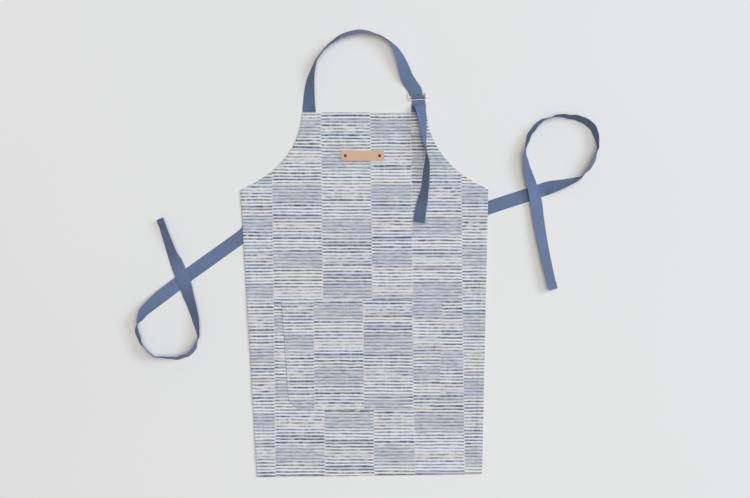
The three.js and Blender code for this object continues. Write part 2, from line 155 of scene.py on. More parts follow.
class StageSettings(bpy.types.PropertyGroup):
    """Surface, lights and camera"""

    floor: FloatVectorProperty(
        name="Surface", description="Colour of the surface under the apron", subtype="COLOR",
        default=(0.808, 0.808, 0.808), min=0, max=1)
    window: FloatProperty(
        name="Window light", description="Power of the cool soft light from the right",
        default=500.0, min=0, unit="POWER")
    overhead: FloatProperty(
        name="Overhead light", description="Strength of the warm broad light from above",
        default=1.78, min=0)
    fill: FloatProperty(
        name="Fill", description="Strength of the light from all round",
        default=0.20, min=0)
    field: FloatProperty(
        name="Field width", description="Width of the surface that the camera takes in",
        default=1.6875, min=0.2, unit="LENGTH")
    lens: FloatProperty(
        name="Lens", description="Focal length in millimetres",
        default=85.0, min=10)


# ---- helpers ---------------------------------------------------------------------------------
def settings(group):
    """One group of the scene's apron settings."""
    return getattr(bpy.context.scene, f"apron_{group}")


def smooth(value, low, high):
    """0 below low, 1 above high and a smooth step between."""
    t = np.clip((np.asarray(value, float) - low) / (high - low), 0, 1)
    return t * t * (3 - 2 * t)


def new_object(name, verts, faces, material, uvs=None):
    """A mesh object in the scene, in one material or in a pair (materials, one index per face)."""
    mesh = bpy.data.meshes.new(name)
    mesh.from_pydata([tuple(map(float, v)) for v in verts], [], [tuple(map(int, f)) for f in faces])
    materials, indices = material if isinstance(material, tuple) else ([material], None)
    for one in materials:
        mesh.materials.append(one)
    if indices is not None:
        mesh.polygons.foreach_set("material_index", np.asarray(indices, np.int32))
    if uvs is not None:
        layer = mesh.uv_layers.new(name="cloth")
        corner = np.array([loop.vertex_index for loop in mesh.loops])
        layer.data.foreach_set("uv", np.asarray(uvs, np.float32)[corner].ravel())
    mesh.polygons.foreach_set("use_smooth", np.ones(len(mesh.polygons), bool))
    mesh.validate()
    mesh.update()
    made = bpy.data.objects.new(name, mesh)
    bpy.context.scene.collection.objects.link(made)
    return made


def finished(piece, body, slot, *nodes):
    """The piece rides on its body and stands for its CAD nodes, which it hides; slot is not used.
    """
    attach(piece, body)
    if nodes:
        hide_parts(*nodes)
    return piece


# ---- curves ----------------------------------------------------------------------------------
def cubic(x1, x2, t1, t2, w):
    """Hermite blend from x1 to x2 with end slopes t1 and t2."""
    c2 = -3 * x1 + 3 * x2 - 2 * t1 - t2
    c3 = 2 * x1 - 2 * x2 + t1 + t2
    return x1 + t1 * w + c2 * w * w + c3 * w ** 3


def spline(points, t, centripetal):
    """The Catmull-Rom curve through points at t from 0 to 1, as the CAD solids follow it."""
    points = np.asarray(points, float)
    padded = np.vstack([2 * points[0] - points[1], points, 2 * points[-1] - points[-2]])
    spans = len(points) - 1
    out = []
    for place in np.clip(np.asarray(t, float), 0, 1) * spans:
        i = min(int(place), spans - 1)
        p0, p1, p2, p3 = padded[i:i + 4]
        w = place - i
        if centripetal:
            pairs = ((p0, p1), (p1, p2), (p2, p3))
            d0, d1, d2 = (math.sqrt(math.dist(a, b)) or 1.0 for a, b in pairs)
            t1 = ((p1 - p0) / d0 - (p2 - p0) / (d0 + d1) + (p2 - p1) / d1) * d1
            t2 = ((p2 - p1) / d1 - (p3 - p1) / (d1 + d2) + (p3 - p2) / d2) * d1
        else:
            t1, t2 = (p2 - p0) / 2, (p3 - p1) / 2
        out.append(cubic(p1, p2, t1, t2, w))
    return np.array(out)


def bezier(corners, t):
    """A cubic Bezier curve at the values t."""
    a, b, c, d = (np.asarray(p, float) for p in corners)
    t = np.asarray(t, float)[:, None]
    return a * (1 - t) ** 3 + 3 * b * t * (1 - t) ** 2 + 3 * c * t * t * (1 - t) + d * t ** 3


def spaced(points, step):
    """Points at even steps along a polyline, and how far along it each is."""
    points = np.asarray(points, float)
    lengths = np.linalg.norm(np.diff(points, axis=0), axis=1)
    along = np.concatenate([[0], np.cumsum(lengths)])
    count = max(int(round(along[-1] / step)), 1)
    at = np.linspace(0, along[-1], count + 1)
    return np.stack([np.interp(at, along, points[:, k]) for k in range(points.shape[1])], 1), at


# ---- the cut of the cloth --------------------------------------------------------------------
BIB_LEFT, BIB_RIGHT = (-0.1385, 0.315), (0.1405, 0.315)
WAIST_LEFT, WAIST_RIGHT = (-0.278, 0.141), (0.2785, 0.1435)
FOOT_LEFT, FOOT_RIGHT = (-0.2405, -0.5035), (0.2645, -0.497)
ARMHOLE_LEFT = [BIB_LEFT, (-0.1475, 0.2245), (-0.194, 0.1795), WAIST_LEFT]
ARMHOLE_RIGHT = [BIB_RIGHT, (0.143, 0.240), (0.200, 0.175), WAIST_RIGHT]
ARC = np.linspace(0, 1, 33)

OUTLINE = np.vstack([
    [FOOT_LEFT], [FOOT_RIGHT], bezier(ARMHOLE_RIGHT, ARC[::-1]), bezier(ARMHOLE_LEFT, ARC)])

POCKET_LOW, POCKET_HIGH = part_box("pocket_panel")
POCKET_TOP = POCKET_HIGH.y
POCKET_CUT = np.array([
    (-0.186, POCKET_TOP), (-0.170, -0.333), (-0.146, POCKET_LOW.y), (0.151, POCKET_LOW.y),
    (0.170, -0.322), (0.174, POCKET_TOP)])
POCKET_HEM_SEAM = 0.0255
POCKET_SEAMS = (0.0025, 0.0080)


def distance_to(points, line, closed=True):
    """Shortest distance from each point to a polyline, in the plane of the cloth."""
    line = np.asarray(line, float)[:, :2]
    starts = line if closed else line[:-1]
    ends = np.roll(line, -1, axis=0) if closed else line[1:]
    points = np.asarray(points, float)[..., :2]
    best = np.full(points.shape[:-1], np.inf)
    for a, b in zip(starts, ends):
        run = b - a
        t = np.clip(((points - a) @ run) / max(run @ run, 1e-12), 0, 1)
        best = np.minimum(best, np.linalg.norm(points - (a + t[..., None] * run), axis=-1))
    return best


# The straps' sewn ends behind the panel, as runs in the plane of the cloth.
STRAP_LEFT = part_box("neck_strap_root")
STRAP_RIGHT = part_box("adjuster_strap_root")
STRAP_LEFT_X = (STRAP_LEFT[0].x + STRAP_LEFT[1].x) / 2
STRAP_RIGHT_X = (STRAP_RIGHT[0].x + STRAP_RIGHT[1].x) / 2
ROOT_LOW, ROOT_MIDDLE, ROOT_TOP = STRAP_LEFT[0].y, 0.29, STRAP_LEFT[1].y

TIE_ROOTS = {
    "left": [(-0.257, 0.104), (-0.2565, 0.078), (-0.259, 0.058), (-0.268, 0.043), (-0.279, 0.0341),
             (-0.2896, 0.0264)],
    "right": [(0.233, 0.086), (0.250, 0.091), (0.266, 0.0965), (0.280, 0.1014), (0.2882, 0.1043)],
}


SIDE_SEAM, FOOT_SEAM, BIB_SEAM = 0.009, 0.0235, 0.0265
SIDE_HEM, FOOT_HEM, BIB_HEM = 0.0112, 0.0252, 0.028
STRAP_PRINT = 0.0155             # how far beside its middle a strap's end shows through the panel


def swell(x, y):
    """The soft waves that the cloth lies in: broad ones all over, and short ones at the edges."""
    height = settings("print").swell
    broad = (np.sin(17 * x + 9 * y + 0.4) * np.sin(13 * y - 6 * x + 1.9)
             + 0.6 * np.sin(31 * x - 11 * y + 2.2) * np.sin(23 * y + 5 * x))
    points = np.stack([x, y], -1)
    edge = 1 - smooth(distance_to(points, OUTLINE), 0.0, 0.055)
    ripple = 0.5 + 0.5 * np.sin(41 * y + 7 * x + 0.8 * np.sin(19 * y)) * np.cos(33 * x + 2 * y)
    calm = smooth(distance_to(points, [BIB_LEFT, BIB_RIGHT], False), 0.0, 0.09)
    return height * (0.30 * (1 + 0.55 * broad) + 0.62 * edge * ripple * calm)


def under_panel(x, y):
    """How far the panel is lifted by the hems and strap ends beneath it."""
    points = np.stack([x, y], -1)
    edge = distance_to(points, OUTLINE)
    foot = distance_to(points, [FOOT_LEFT, FOOT_RIGHT], False)
    bib = distance_to(points, [BIB_LEFT, BIB_RIGHT], False)
    side_end, wide_end = 6 * MM, 7 * MM    # how far the panel takes to come down from a hem
    hem = 1 - smooth(edge, 0.011, 0.011 + side_end)
    for away, reach in ((foot, 0.025), (bib, 0.028)):
        hem = np.maximum(hem, 1 - smooth(away, reach, reach + wide_end))
    runs = [[(STRAP_LEFT_X, ROOT_LOW), (STRAP_LEFT_X, ROOT_TOP)],
            [(STRAP_RIGHT_X, ROOT_LOW), (STRAP_RIGHT_X, ROOT_TOP)], *TIE_ROOTS.values()]
    for run in runs:
        beside = distance_to(points, run, False)
        hem = np.maximum(hem, 1 - smooth(beside, STRAP_PRINT, STRAP_PRINT + 0.0055))
    return hem * (TURNED + AIR)


def seam_groove(distance, at, depth=0.35 * MM):
    """The dip that a row of stitches pulls into the cloth, at a distance in from an edge."""
    return depth * np.exp(-((distance - at) / (1.3 * MM)) ** 2)


def panel_low(x, y):
    """Underside of the body panel."""
    x, y = np.asarray(x, float), np.asarray(y, float)
    return 0.2 * MM + under_panel(x, y) + swell(x, y)


def hem_low(x, y):
    """Underside of a hem turned to the back."""
    return 0.05 * MM + swell(x, y)


def hem_top(x, y):
    """Upper side of a hem turned to the back."""
    return 0.1 * MM + TURNED + swell(x, y)


def panel_top(x, y):
    """Face of the body panel, with its seams pulled in."""
    x, y = np.asarray(x, float), np.asarray(y, float)
    points = np.stack([x, y], -1)
    edge = distance_to(points, OUTLINE)
    foot = distance_to(points, [FOOT_LEFT, FOOT_RIGHT], False)
    bib = distance_to(points, [BIB_LEFT, BIB_RIGHT], False)
    pucker = 1 + 0.5 * np.sin(620 * x + 2 * np.sin(140 * y)) * np.sin(570 * y)
    grooves = (seam_groove(edge, SIDE_SEAM) + seam_groove(foot, FOOT_SEAM)
               + seam_groove(bib, BIB_SEAM)) * pucker
    return panel_low(x, y) + CANVAS - np.minimum(grooves, 0.4 * MM)


def pocket_low(x, y):
    """Underside of the pocket: on the panel, and on its own turned edges near its border."""
    x, y = np.asarray(x, float), np.asarray(y, float)
    points = np.stack([x, y], -1)
    turned = 1 - smooth(distance_to(points, POCKET_CUT), 0.010, 0.016)
    turned = np.maximum(turned, 1 - smooth(POCKET_TOP - y, 0.028, 0.034))
    mouth = np.exp(-((POCKET_TOP - y) / 0.03) ** 2) * smooth(
        np.minimum(x - POCKET_CUT[0][0], POCKET_CUT[-1][0] - x), 0.005, 0.12)
    return panel_low(x, y) + CANVAS + AIR + turned * 0.65 * MM + mouth * 1.1 * MM


def pocket_top(x, y):
    """Face of the pocket, with its seams pulled in."""
    x, y = np.asarray(x, float), np.asarray(y, float)
    points = np.stack([x, y], -1)
    sides = distance_to(points, POCKET_CUT, False)
    grooves = seam_groove(POCKET_TOP - y, POCKET_HEM_SEAM)
    for at in POCKET_SEAMS:
        grooves = grooves + seam_groove(sides, at, 0.25 * MM)
    return pocket_low(x, y) + CANVAS - np.minimum(grooves, 0.4 * MM)


def rounded(low, high, radius, steps):
    """Points round a rectangle with rounded corners, from its lower right corner."""
    (x0, y0), (x1, y1) = low, high
    corners = ((x1 - radius, y0 + radius, -90), (x1 - radius, y1 - radius, 0),
               (x0 + radius, y1 - radius, 90), (x0 + radius, y0 + radius, 180))
    return [(x + radius * math.cos(a), y + radius * math.sin(a)) for x, y, start in corners
            for a in np.radians(np.linspace(start, start + 90, steps + 1))]


# ---- meshes of cloth -------------------------------------------------------------------------
def slab(name, grid, low, high, material, back, rim=0.45 * MM):
    """A closed sheet over a grid of plane points, with a face, a back and a rounded rim."""
    rows, columns = grid.shape[:2]
    x, y = grid[..., 0], grid[..., 1]
    z_low, z_high = low(x, y), high(x, y)
    border = ([(0, c) for c in range(columns)] + [(r, columns - 1) for r in range(1, rows)]
              + [(rows - 1, c) for c in range(columns - 2, -1, -1)]
              + [(r, 0) for r in range(rows - 2, 0, -1)])
    ring = np.array([grid[b] for b in border])
    run = np.roll(ring, -1, axis=0) - np.roll(ring, 1, axis=0)
    run /= np.maximum(np.linalg.norm(run, axis=1, keepdims=True), 1e-9)
    outward = np.stack([run[:, 1], -run[:, 0]], 1)
    middle = ring + outward * rim
    z_middle = np.array([(z_low[b] + z_high[b]) / 2 for b in border])
    verts = np.vstack([
        np.stack([x, y, z_high], -1).reshape(-1, 3), np.stack([x, y, z_low], -1).reshape(-1, 3),
        np.column_stack([middle, z_middle])])
    count = rows * columns
    faces, sides = [], []
    for r in range(rows - 1):
        for c in range(columns - 1):
            a, b = r * columns + c, (r + 1) * columns + c
            faces.append((a, a + 1, b + 1, b))
            faces.append((count + a, count + b, count + b + 1, count + a + 1))
            sides += [0, 1]
    turns = len(border)
    for i, (r, c) in enumerate(border):
        nr, nc = border[(i + 1) % turns]
        here, there = r * columns + c, nr * columns + nc
        m, n = 2 * count + i, 2 * count + (i + 1) % turns
        faces.append((here, m, n, there))
        faces.append((count + here, count + there, n, m))
        sides += [0, 0]
    uvs = verts[:, :2]
    return new_object(name, verts, faces, ([material, back], sides), uvs)


def graded(length, fine, coarse, margin):
    """Shares from 0 to 1, close together within margin of both ends and wider between."""
    near = np.arange(0, margin, fine)
    count = max(int(round((length - 2 * margin) / coarse)), 1)
    middle = np.linspace(margin, length - margin, count + 1)
    return np.concatenate([near, middle, length - near[::-1]]) / length


def panel_grid():
    """Plane points over the whole body panel: straight rows from the foot to the bib's top."""
    across = graded(0.53, fine=0.0022, coarse=0.0065, margin=0.022)
    skirt = 0.644
    up = graded(skirt, fine=0.0026, coarse=0.0065, margin=0.034)
    up = up[up < 1 - 0.030 / skirt]
    arc = np.linspace(1, 0, 46)
    arc = np.concatenate([arc[:-6], np.linspace(arc[-6], 0, 16)])
    left = np.vstack([np.array(FOOT_LEFT) + up[:, None] * (np.array(WAIST_LEFT) - FOOT_LEFT),
                      bezier(ARMHOLE_LEFT, arc)])
    right = np.vstack([np.array(FOOT_RIGHT) + up[:, None] * (np.array(WAIST_RIGHT) - FOOT_RIGHT),
                       bezier(ARMHOLE_RIGHT, arc)])
    return left[:, None, :] + across[None, :, None] * (right - left)[:, None, :]


def pocket_grid():
    """Plane points over the pocket; its side edges turn in at the cut-off lower corners."""
    left, right = POCKET_CUT[2::-1], POCKET_CUT[3:]
    heel = np.linspace(0, 1, 11)
    side = graded(0.226, fine=0.0024, coarse=0.006, margin=0.032)[1:]
    side = side[side > 0.01]
    place = np.concatenate([heel, 1 + side])
    rows = [np.stack([np.interp(place, [0, 1, 2], edge[:, k]) for k in (0, 1)], 1)
            for edge in (left, right)]
    across = graded(0.35, fine=0.002, coarse=0.006, margin=0.014)
    return rows[0][:, None, :] + across[None, :, None] * (rows[1] - rows[0])[:, None, :]


def strip_grid(run, inset, width, step=0.005):
    """Plane points over an even strip beside a run of edge points, the cloth to its left."""
    points, _ = spaced(run, step)
    along = np.gradient(points, axis=0)
    along /= np.linalg.norm(along, axis=1, keepdims=True)
    inward = np.stack([-along[:, 1], along[:, 0]], 1)
    shares = np.linspace(0, 1, 5)
    offsets = inset + width * shares
    grid = points[:, None, :] + offsets[None, :, None] * inward[:, None, :]
    return grid[:, ::-1]


# ---- webbing ---------------------------------------------------------------------------------
def settle(x, y, lean=0.0, base=0.0):
    """A station of webbing leaning by some degrees with its low edge at the height base."""
    webbing = settings("webbing")
    angle = math.radians(lean)
    rise = (webbing.width * abs(math.sin(angle)) + webbing.thickness * abs(math.cos(angle))) / 2
    return (x, y, base + rise, angle)


def strap_frames(stations, step=0.0028, start=0.0, end=1.0):
    """Even steps along a strap: middle, direction across, face normal and length so far."""
    stations = np.asarray(stations, float)
    dense = np.linspace(0, 1, 30 * (len(stations) - 1) + 1)
    places = spline(stations[:, :3], dense, True)
    gone = np.concatenate([[0], np.cumsum(np.linalg.norm(np.diff(places, axis=0), axis=1))])
    count = max(int(round(gone[-1] * (end - start) / step)), 2)
    at = np.linspace(gone[-1] * start, gone[-1] * end, count + 1)
    t = np.interp(at, gone, dense)
    middle = spline(stations[:, :3], t, True)
    nudge = 1e-4
    along = spline(stations[:, :3], t + nudge, True) - spline(stations[:, :3], t - nudge, True)
    along /= np.linalg.norm(along, axis=1, keepdims=True)
    leans = spline(stations[:, 3:4], t, False)[:, 0]
    across, face, side = [], [], None
    for run, lean in zip(along, leans):
        level = np.cross((0, 0, 1), run)
        if side is not None and np.linalg.norm(level) < 0.35:
            level = side - run * (side @ run)
        if side is not None and level @ side < 0:
            level = -level
        side = level / np.linalg.norm(level)
        lift = np.cross(run, side)
        across.append(side * math.cos(lean) + lift * math.sin(lean))
        face.append(np.cross(run, across[-1]))
    return middle, np.array(across), np.array(face), at


def webbing_mesh(name, stations, material, bow=0.0005, wear=0.0, seed=0, offset=0.0, narrow=0.0,
                 **stretch):
    """Woven strap through its stations, with rounded selvedges and a slight cup across it.

    Wear ripples the selvedges, and kinks the strap sideways where it stands on edge.
    """
    webbing = settings("webbing")
    half, thick = webbing.width / 2, webbing.thickness / 2
    middle, across, face, at = strap_frames(stations, **stretch)
    shares = np.array([-1, -0.985, -0.93, -0.8, -0.5, -0.2, 0.2, 0.5, 0.8, 0.93, 0.985, 1])
    body = np.array([0.35, 0.75, 1, 1, 1, 1, 1, 1, 1, 1, 0.75, 0.35])
    section = [(w, t) for w, t in zip(shares[::-1], body[::-1])]
    section += [(w, -t) for w, t in zip(shares, body)]
    wave = wear * (np.sin(at * 95 + seed) + 0.6 * np.sin(at * 211 + 2.3 * seed))
    upright = smooth(1 - np.abs(face[:, 2]), 0.25, 0.80)
    kink = wear * 3.2 * upright * (np.sin(at * 148 + 1.7 * seed) + 0.7 * np.sin(at * 263 + seed))
    verts, uvs = [], []
    for w, t in section:
        out = thick * t + bow * (1 - w * w) + wave * w * 0.5 + kink + offset
        verts.append(middle + across * ((half - narrow) * w) + face * out[:, None])
        uvs.append(np.stack([np.full(len(at), half * (w + 1)), at], 1))
    ring = len(section)
    verts = np.stack(verts, 1).reshape(-1, 3)
    uvs = np.stack(uvs, 1).reshape(-1, 2)
    faces = []
    for i in range(len(at) - 1):
        for k in range(ring):
            a, b = i * ring + k, i * ring + (k + 1) % ring
            faces.append((a, b, b + ring, a + ring))
    last = (len(at) - 1) * ring
    half_ring = ring // 2
    for k in range(half_ring - 1):
        near = (k, ring - 1 - k, ring - 2 - k, k + 1)
        faces.append(near)
        faces.append(tuple(last + v for v in near[::-1]))
    made = new_object(name, verts, faces, material, uvs)
    return made, middle


# ---- shader helpers --------------------------------------------------------------------------
class Sheet:
    """Adds nodes to a tree and joins them, so that a finish reads as a list of steps."""

    def __init__(self, tree):
        self.tree = tree

    def node(self, kind, inputs=(), **values):
        made = self.tree.nodes.new(kind)
        for key, value in values.items():
            setattr(made, key, value)
        for key, value in dict(inputs).items():
            self.feed(made.inputs[key], value)
        return made

    def feed(self, socket, value):
        if isinstance(value, bpy.types.NodeSocket):
            self.tree.links.new(value, socket)
        else:
            socket.default_value = value

    def math(self, operation, *values, clamp=False):
        made = self.node("ShaderNodeMath", operation=operation, use_clamp=clamp)
        for socket, value in zip(made.inputs, values):
            self.feed(socket, value)
        return made.outputs[0]

    def step(self, value, low, high, out_low=0.0, out_high=1.0):
        made = self.node("ShaderNodeMapRange", interpolation_type="SMOOTHSTEP")
        for key, item in zip(("Value", "From Min", "From Max", "To Min", "To Max"),
                             (value, low, high, out_low, out_high)):
            self.feed(made.inputs[key], item)
        return made.outputs[0]

    def mix(self, share, first, second, blend="MIX"):
        made = self.node("ShaderNodeMix", data_type="RGBA", blend_type=blend)
        self.feed(made.inputs[0], share)
        self.feed(made.inputs[6], first)
        self.feed(made.inputs[7], second)
        return made.outputs[2]

    def vector(self, x=0.0, y=0.0, z=0.0):
        made = self.node("ShaderNodeCombineXYZ")
        for socket, value in zip(made.inputs, (x, y, z)):
            self.feed(socket, value)
        return made.outputs[0]

    def split(self, vector):
        made = self.node("ShaderNodeSeparateXYZ")
        self.feed(made.inputs[0], vector)
        return made.outputs

    def noise(self, vector, scale=1.0, detail=2.0, roughness=0.5):
        made = self.node("ShaderNodeTexNoise", {"Vector": vector, "Scale": scale})
        made.inputs["Detail"].default_value = detail
        made.inputs["Roughness"].default_value = roughness
        return made.outputs[0]

    def streaks(self, x, y, layer, per_x, per_y, detail=2.0, roughness=0.5):
        """Noise drawn out by different scales along x and y; each layer has its own."""
        place = self.vector(self.math("MULTIPLY", x, per_x), self.math("MULTIPLY", y, per_y), layer)
        return self.noise(place, 1.0, detail, roughness)

    def inverse(self, value):
        """One less the value."""
        return self.math("SUBTRACT", 1.0, value)

    def shaded(self, color, shade):
        """The colour times one shade."""
        return self.mix(1.0, color, self.vector(shade, shade, shade), "MULTIPLY")

    def chance(self, x, y=0.0, z=0.0):
        """A random value for each whole-number place."""
        made = self.node("ShaderNodeTexWhiteNoise", noise_dimensions="3D")
        self.feed(made.inputs["Vector"], self.vector(x, y, z))
        return made.outputs["Value"]


def rgba(color):
    """A colour property as four numbers."""
    return (*color[:3], 1.0)


def node_group(name, inputs, outputs):
    """An empty node group with named sockets: its sheet, and the sockets inside at both ends."""
    tree = bpy.data.node_groups.new(name, "ShaderNodeTree")
    kinds = {"float": "NodeSocketFloat", "color": "NodeSocketColor", "vector": "NodeSocketVector"}
    for label, (kind, value) in inputs.items():
        socket = tree.interface.new_socket(name=label, in_out="INPUT", socket_type=kinds[kind])
        if value is not None:
            socket.default_value = value
    for label, kind in outputs.items():
        tree.interface.new_socket(name=label, in_out="OUTPUT", socket_type=kinds[kind])
    sheet = Sheet(tree)
    source = sheet.node("NodeGroupInput")
    sink = sheet.node("NodeGroupOutput")
    return sheet, source.outputs, sink.inputs


def use_group(sheet, name, **inputs):
    """A node group placed in a material, with its values."""
    made = sheet.node("ShaderNodeGroup", node_tree=bpy.data.node_groups[name])
    for key, value in inputs.items():
        sheet.feed(made.inputs[key.replace("_", " ")], value)
    return made.outputs


def build_weave_group():
    """Crossing threads: Height for bump, and Shade, darker between the threads."""
    s, g, out = node_group(
        "Crossing threads",
        {"Place": ("vector", None), "Warp pitch": ("float", 0.001), "Weft pitch": ("float", 0.001),
         "Twill": ("float", 0.0)},
        {"Height": "float", "Shade": "float"})
    x, y, _ = s.split(g["Place"])
    a = s.math("DIVIDE", x, g["Warp pitch"])
    b = s.math("DIVIDE", y, g["Weft pitch"])
    a_row, b_row = s.math("FLOOR", a), s.math("FLOOR", b)
    shifted = s.math("ADD", a_row, s.math("ADD", b_row, s.math("MULTIPLY", b_row, g["Twill"])))
    over = s.math("GREATER_THAN", s.math("FRACT", s.math("MULTIPLY", shifted, 0.5)), 0.25)
    warp = s.math("ABSOLUTE", s.math("SINE", s.math("MULTIPLY", a, math.pi)))
    weft = s.math("ABSOLUTE", s.math("SINE", s.math("MULTIPLY", b, math.pi)))
    up = s.math("MULTIPLY", warp, s.math("MULTIPLY_ADD", weft, 0.4, 0.6))
    down = s.math("MULTIPLY", weft, s.math("MULTIPLY_ADD", warp, 0.4, 0.6))
    height = s.math("ADD", s.math("MULTIPLY", up, over), s.math("MULTIPLY", down, s.inverse(over)))
    s.feed(out["Height"], height)
    s.feed(out["Shade"], s.step(height, 0.0, 0.8, 0.72, 1.0))


def build_drift_group():
    """Uneven colour and nap: Tone multiplies a colour, and Nap is a fine height."""
    s, g, out = node_group(
        "Uneven dye",
        {"Place": ("vector", None), "Depth": ("float", 0.1)},
        {"Tone": "float", "Nap": "float"})
    broad = s.noise(g["Place"], 14.0, 3.0)
    fine = s.noise(g["Place"], 900.0, 2.0)
    spread = s.math("MULTIPLY", s.math("SUBTRACT", s.math("MULTIPLY_ADD", fine, 0.45, broad), 0.72),
                    g["Depth"])
    s.feed(out["Tone"], s.math("ADD", 1.0, s.math("MULTIPLY", spread, 2.0)))
    s.feed(out["Nap"], fine)


# Where the columns of the print meet, in column widths: the fourth column is narrower.
COLUMN_EDGES = (-2.81, -1.81, -0.81, 0.19, 1.01, 2.02, 3.02)
GRAIN_LEAN, GRAIN_FROM = 0.012, 0.65    # the columns' lean with the grain, about this height
BLOCK_START, BLOCK_STAGGER = 0.7585, -0.5    # in block repeats; every second column is staggered
# How far a block reaches from the middle of the washed one, in block repeats.
WASHED_FULL, WASHED_GONE = 0.095, 0.160
MILKY_GONE, MILKY_FULL = 0.405, 0.455
STRIPE_HALF, STRIPE_LUCK, STRIPE_DRY = 0.185, 0.08, 0.14    # half a stripe's width, in rows
COLUMN_GAP = 0.0004              # width over which a stripe ends at its column's edge


def build_print_group():
    """The print: brushed stripes in staggered columns, with washed and milky blocks between."""
    s, g, out = node_group(
        "Brushed stripe print",
        {"Place": ("vector", None), "Pitch": ("float", 0.0075), "Column": ("float", 0.11),
         "Block": ("float", 0.128), "Ground": ("color", None), "Stroke": ("color", None),
         "Wash": ("color", None)},
        {"Color": "color"})
    x, y, _ = s.split(g["Place"])
    lean = s.math("MULTIPLY", s.math("SUBTRACT", y, GRAIN_FROM), GRAIN_LEAN)
    across = s.math("DIVIDE", s.math("ADD", x, lean), g["Column"])
    column, to_edge = 0.0, 1.0
    for edge in COLUMN_EDGES:
        column = s.math("ADD", column, s.math("GREATER_THAN", across, edge))
        away = s.math("ABSOLUTE", s.math("SUBTRACT", across, edge))
        to_edge = s.math("MINIMUM", to_edge, away)

    # rows of stripes, which waver along the column
    phase = s.chance(column, 3.0)
    wander = s.streaks(x, y, s.math("MULTIPLY", column, 5.3), 26.0, 60.0)
    wander = s.math("MULTIPLY", s.math("SUBTRACT", wander, 0.5), 0.42)
    row_place = s.math("ADD", s.math("ADD", s.math("DIVIDE", y, g["Pitch"]), phase), wander)
    row = s.math("FLOOR", row_place)
    off_middle = s.math("ABSOLUTE", s.math("SUBTRACT", s.math("FRACT", row_place), 0.5))
    luck = s.chance(row, column, 1.0)
    hue_luck = s.chance(row, column, 7.0)

    # the brushed stripe of each row, heavier or drier along its run
    dry = s.streaks(x, row, s.math("MULTIPLY", column, 1.9), 70.0, 3.7, 3.0, 0.6)
    grain = s.streaks(x, y, 0.0, 240.0, 1900.0)
    half = s.math("ADD", s.math("MULTIPLY_ADD", luck, STRIPE_LUCK, STRIPE_HALF),
                  s.math("MULTIPLY", s.math("SUBTRACT", dry, 0.5), STRIPE_DRY))
    stripe = s.step(off_middle, s.math("SUBTRACT", half, 0.06), s.math("ADD", half, 0.08), 1.0, 0.0)
    heavy = s.math("MULTIPLY_ADD", luck, 0.30, 0.71)
    load = s.math("MULTIPLY", s.step(dry, 0.30, 0.60, 0.62, 1.06), heavy)
    load = s.math("MULTIPLY", load, s.step(grain, 0.2, 0.6, 0.80, 1.0), clamp=True)
    stripe = s.math("MULTIPLY", stripe, load)

    # washed and milky blocks, staggered from column to column, starting and stopping between rows
    odd = s.math("FLOORED_MODULO", column, 2.0)
    row_height = s.math("MULTIPLY", s.math("ADD", s.math("SUBTRACT", row, phase), 0.5), g["Pitch"])
    block_place = s.math("ADD", s.math("DIVIDE", row_height, g["Block"]),
                         s.math("MULTIPLY_ADD", odd, BLOCK_STAGGER, BLOCK_START))
    block_place = s.math("ADD", block_place, s.math("MULTIPLY", s.chance(column, 11.0), 0.04))
    ragged = s.math("SUBTRACT", s.streaks(x, row, column, 34.0, 2.3), 0.5)
    ragged = s.math("ADD", s.math("MULTIPLY", ragged, 0.20),
                    s.math("MULTIPLY", s.math("SUBTRACT", hue_luck, 0.5), 0.04))
    block_place = s.math("ADD", block_place, ragged)
    block = s.math("ABSOLUTE", s.math("SUBTRACT", s.math("FRACT", block_place), 0.5))
    washed = s.step(block, WASHED_FULL, WASHED_GONE, 1.0, 0.0)
    milky = s.step(block, MILKY_GONE, MILKY_FULL)

    # inside a washed block: the strokes run thin and broken on a pale wash with cream streaks
    streak = s.streaks(x, y, column, 62.0, 430.0, 3.0, 0.62)
    cream = s.streaks(x, y, column, 24.0, 120.0)
    broken = s.streaks(x, row, column, 52.0, 6.1)
    wash = s.mix(s.step(streak, 0.32, 0.68), s.mix(0.13, g["Wash"], g["Stroke"]),
                 s.mix(0.55, g["Wash"], g["Ground"]))
    wash = s.mix(s.math("MULTIPLY", s.step(cream, 0.58, 0.70), 0.80), wash, g["Ground"])
    faint = s.math("MULTIPLY", s.step(off_middle, 0.10, 0.27, 1.0, 0.0),
                   s.step(broken, 0.30, 0.70, 0.34, 0.78))

    # ground between stripes: cream in one gap, bluish white in the next, a few washed over
    gap = s.math("FLOOR", s.math("ADD", row_place, 0.5))
    cool = s.mix(1.0, g["Ground"], (0.965, 1.0, 1.115, 1.0), "MULTIPLY")
    ground = s.mix(s.step(s.chance(gap, column, 2.0), 0.25, 0.75), g["Ground"], cool)
    tint = s.math("MULTIPLY", s.step(s.chance(gap, column, 9.0), 0.66, 0.98), 0.75)
    ground = s.mix(tint, ground, g["Wash"])

    # half way between two washed blocks a milky one: cream streaks over strokes gone thin
    warm = s.mix(1.0, g["Ground"], (1.02, 0.97, 0.91, 1.0), "MULTIPLY")
    milk = s.mix(s.step(streak, 0.42, 0.60), s.mix(0.62, g["Ground"], g["Wash"]), warm)
    ground = s.mix(s.math("MULTIPLY", milky, 0.60), ground, milk)
    thin = s.math("MULTIPLY", milky, s.step(s.math("ADD", streak, broken), 0.85, 1.15, 0.05, 0.70))
    stripe = s.math("MULTIPLY", stripe, s.inverse(thin))

    grey = s.mix(1.0, g["Stroke"], (1.85, 1.50, 0.95, 1.0), "MULTIPLY")
    stroke = s.mix(s.step(hue_luck, 0.30, 0.80), g["Stroke"], grey)

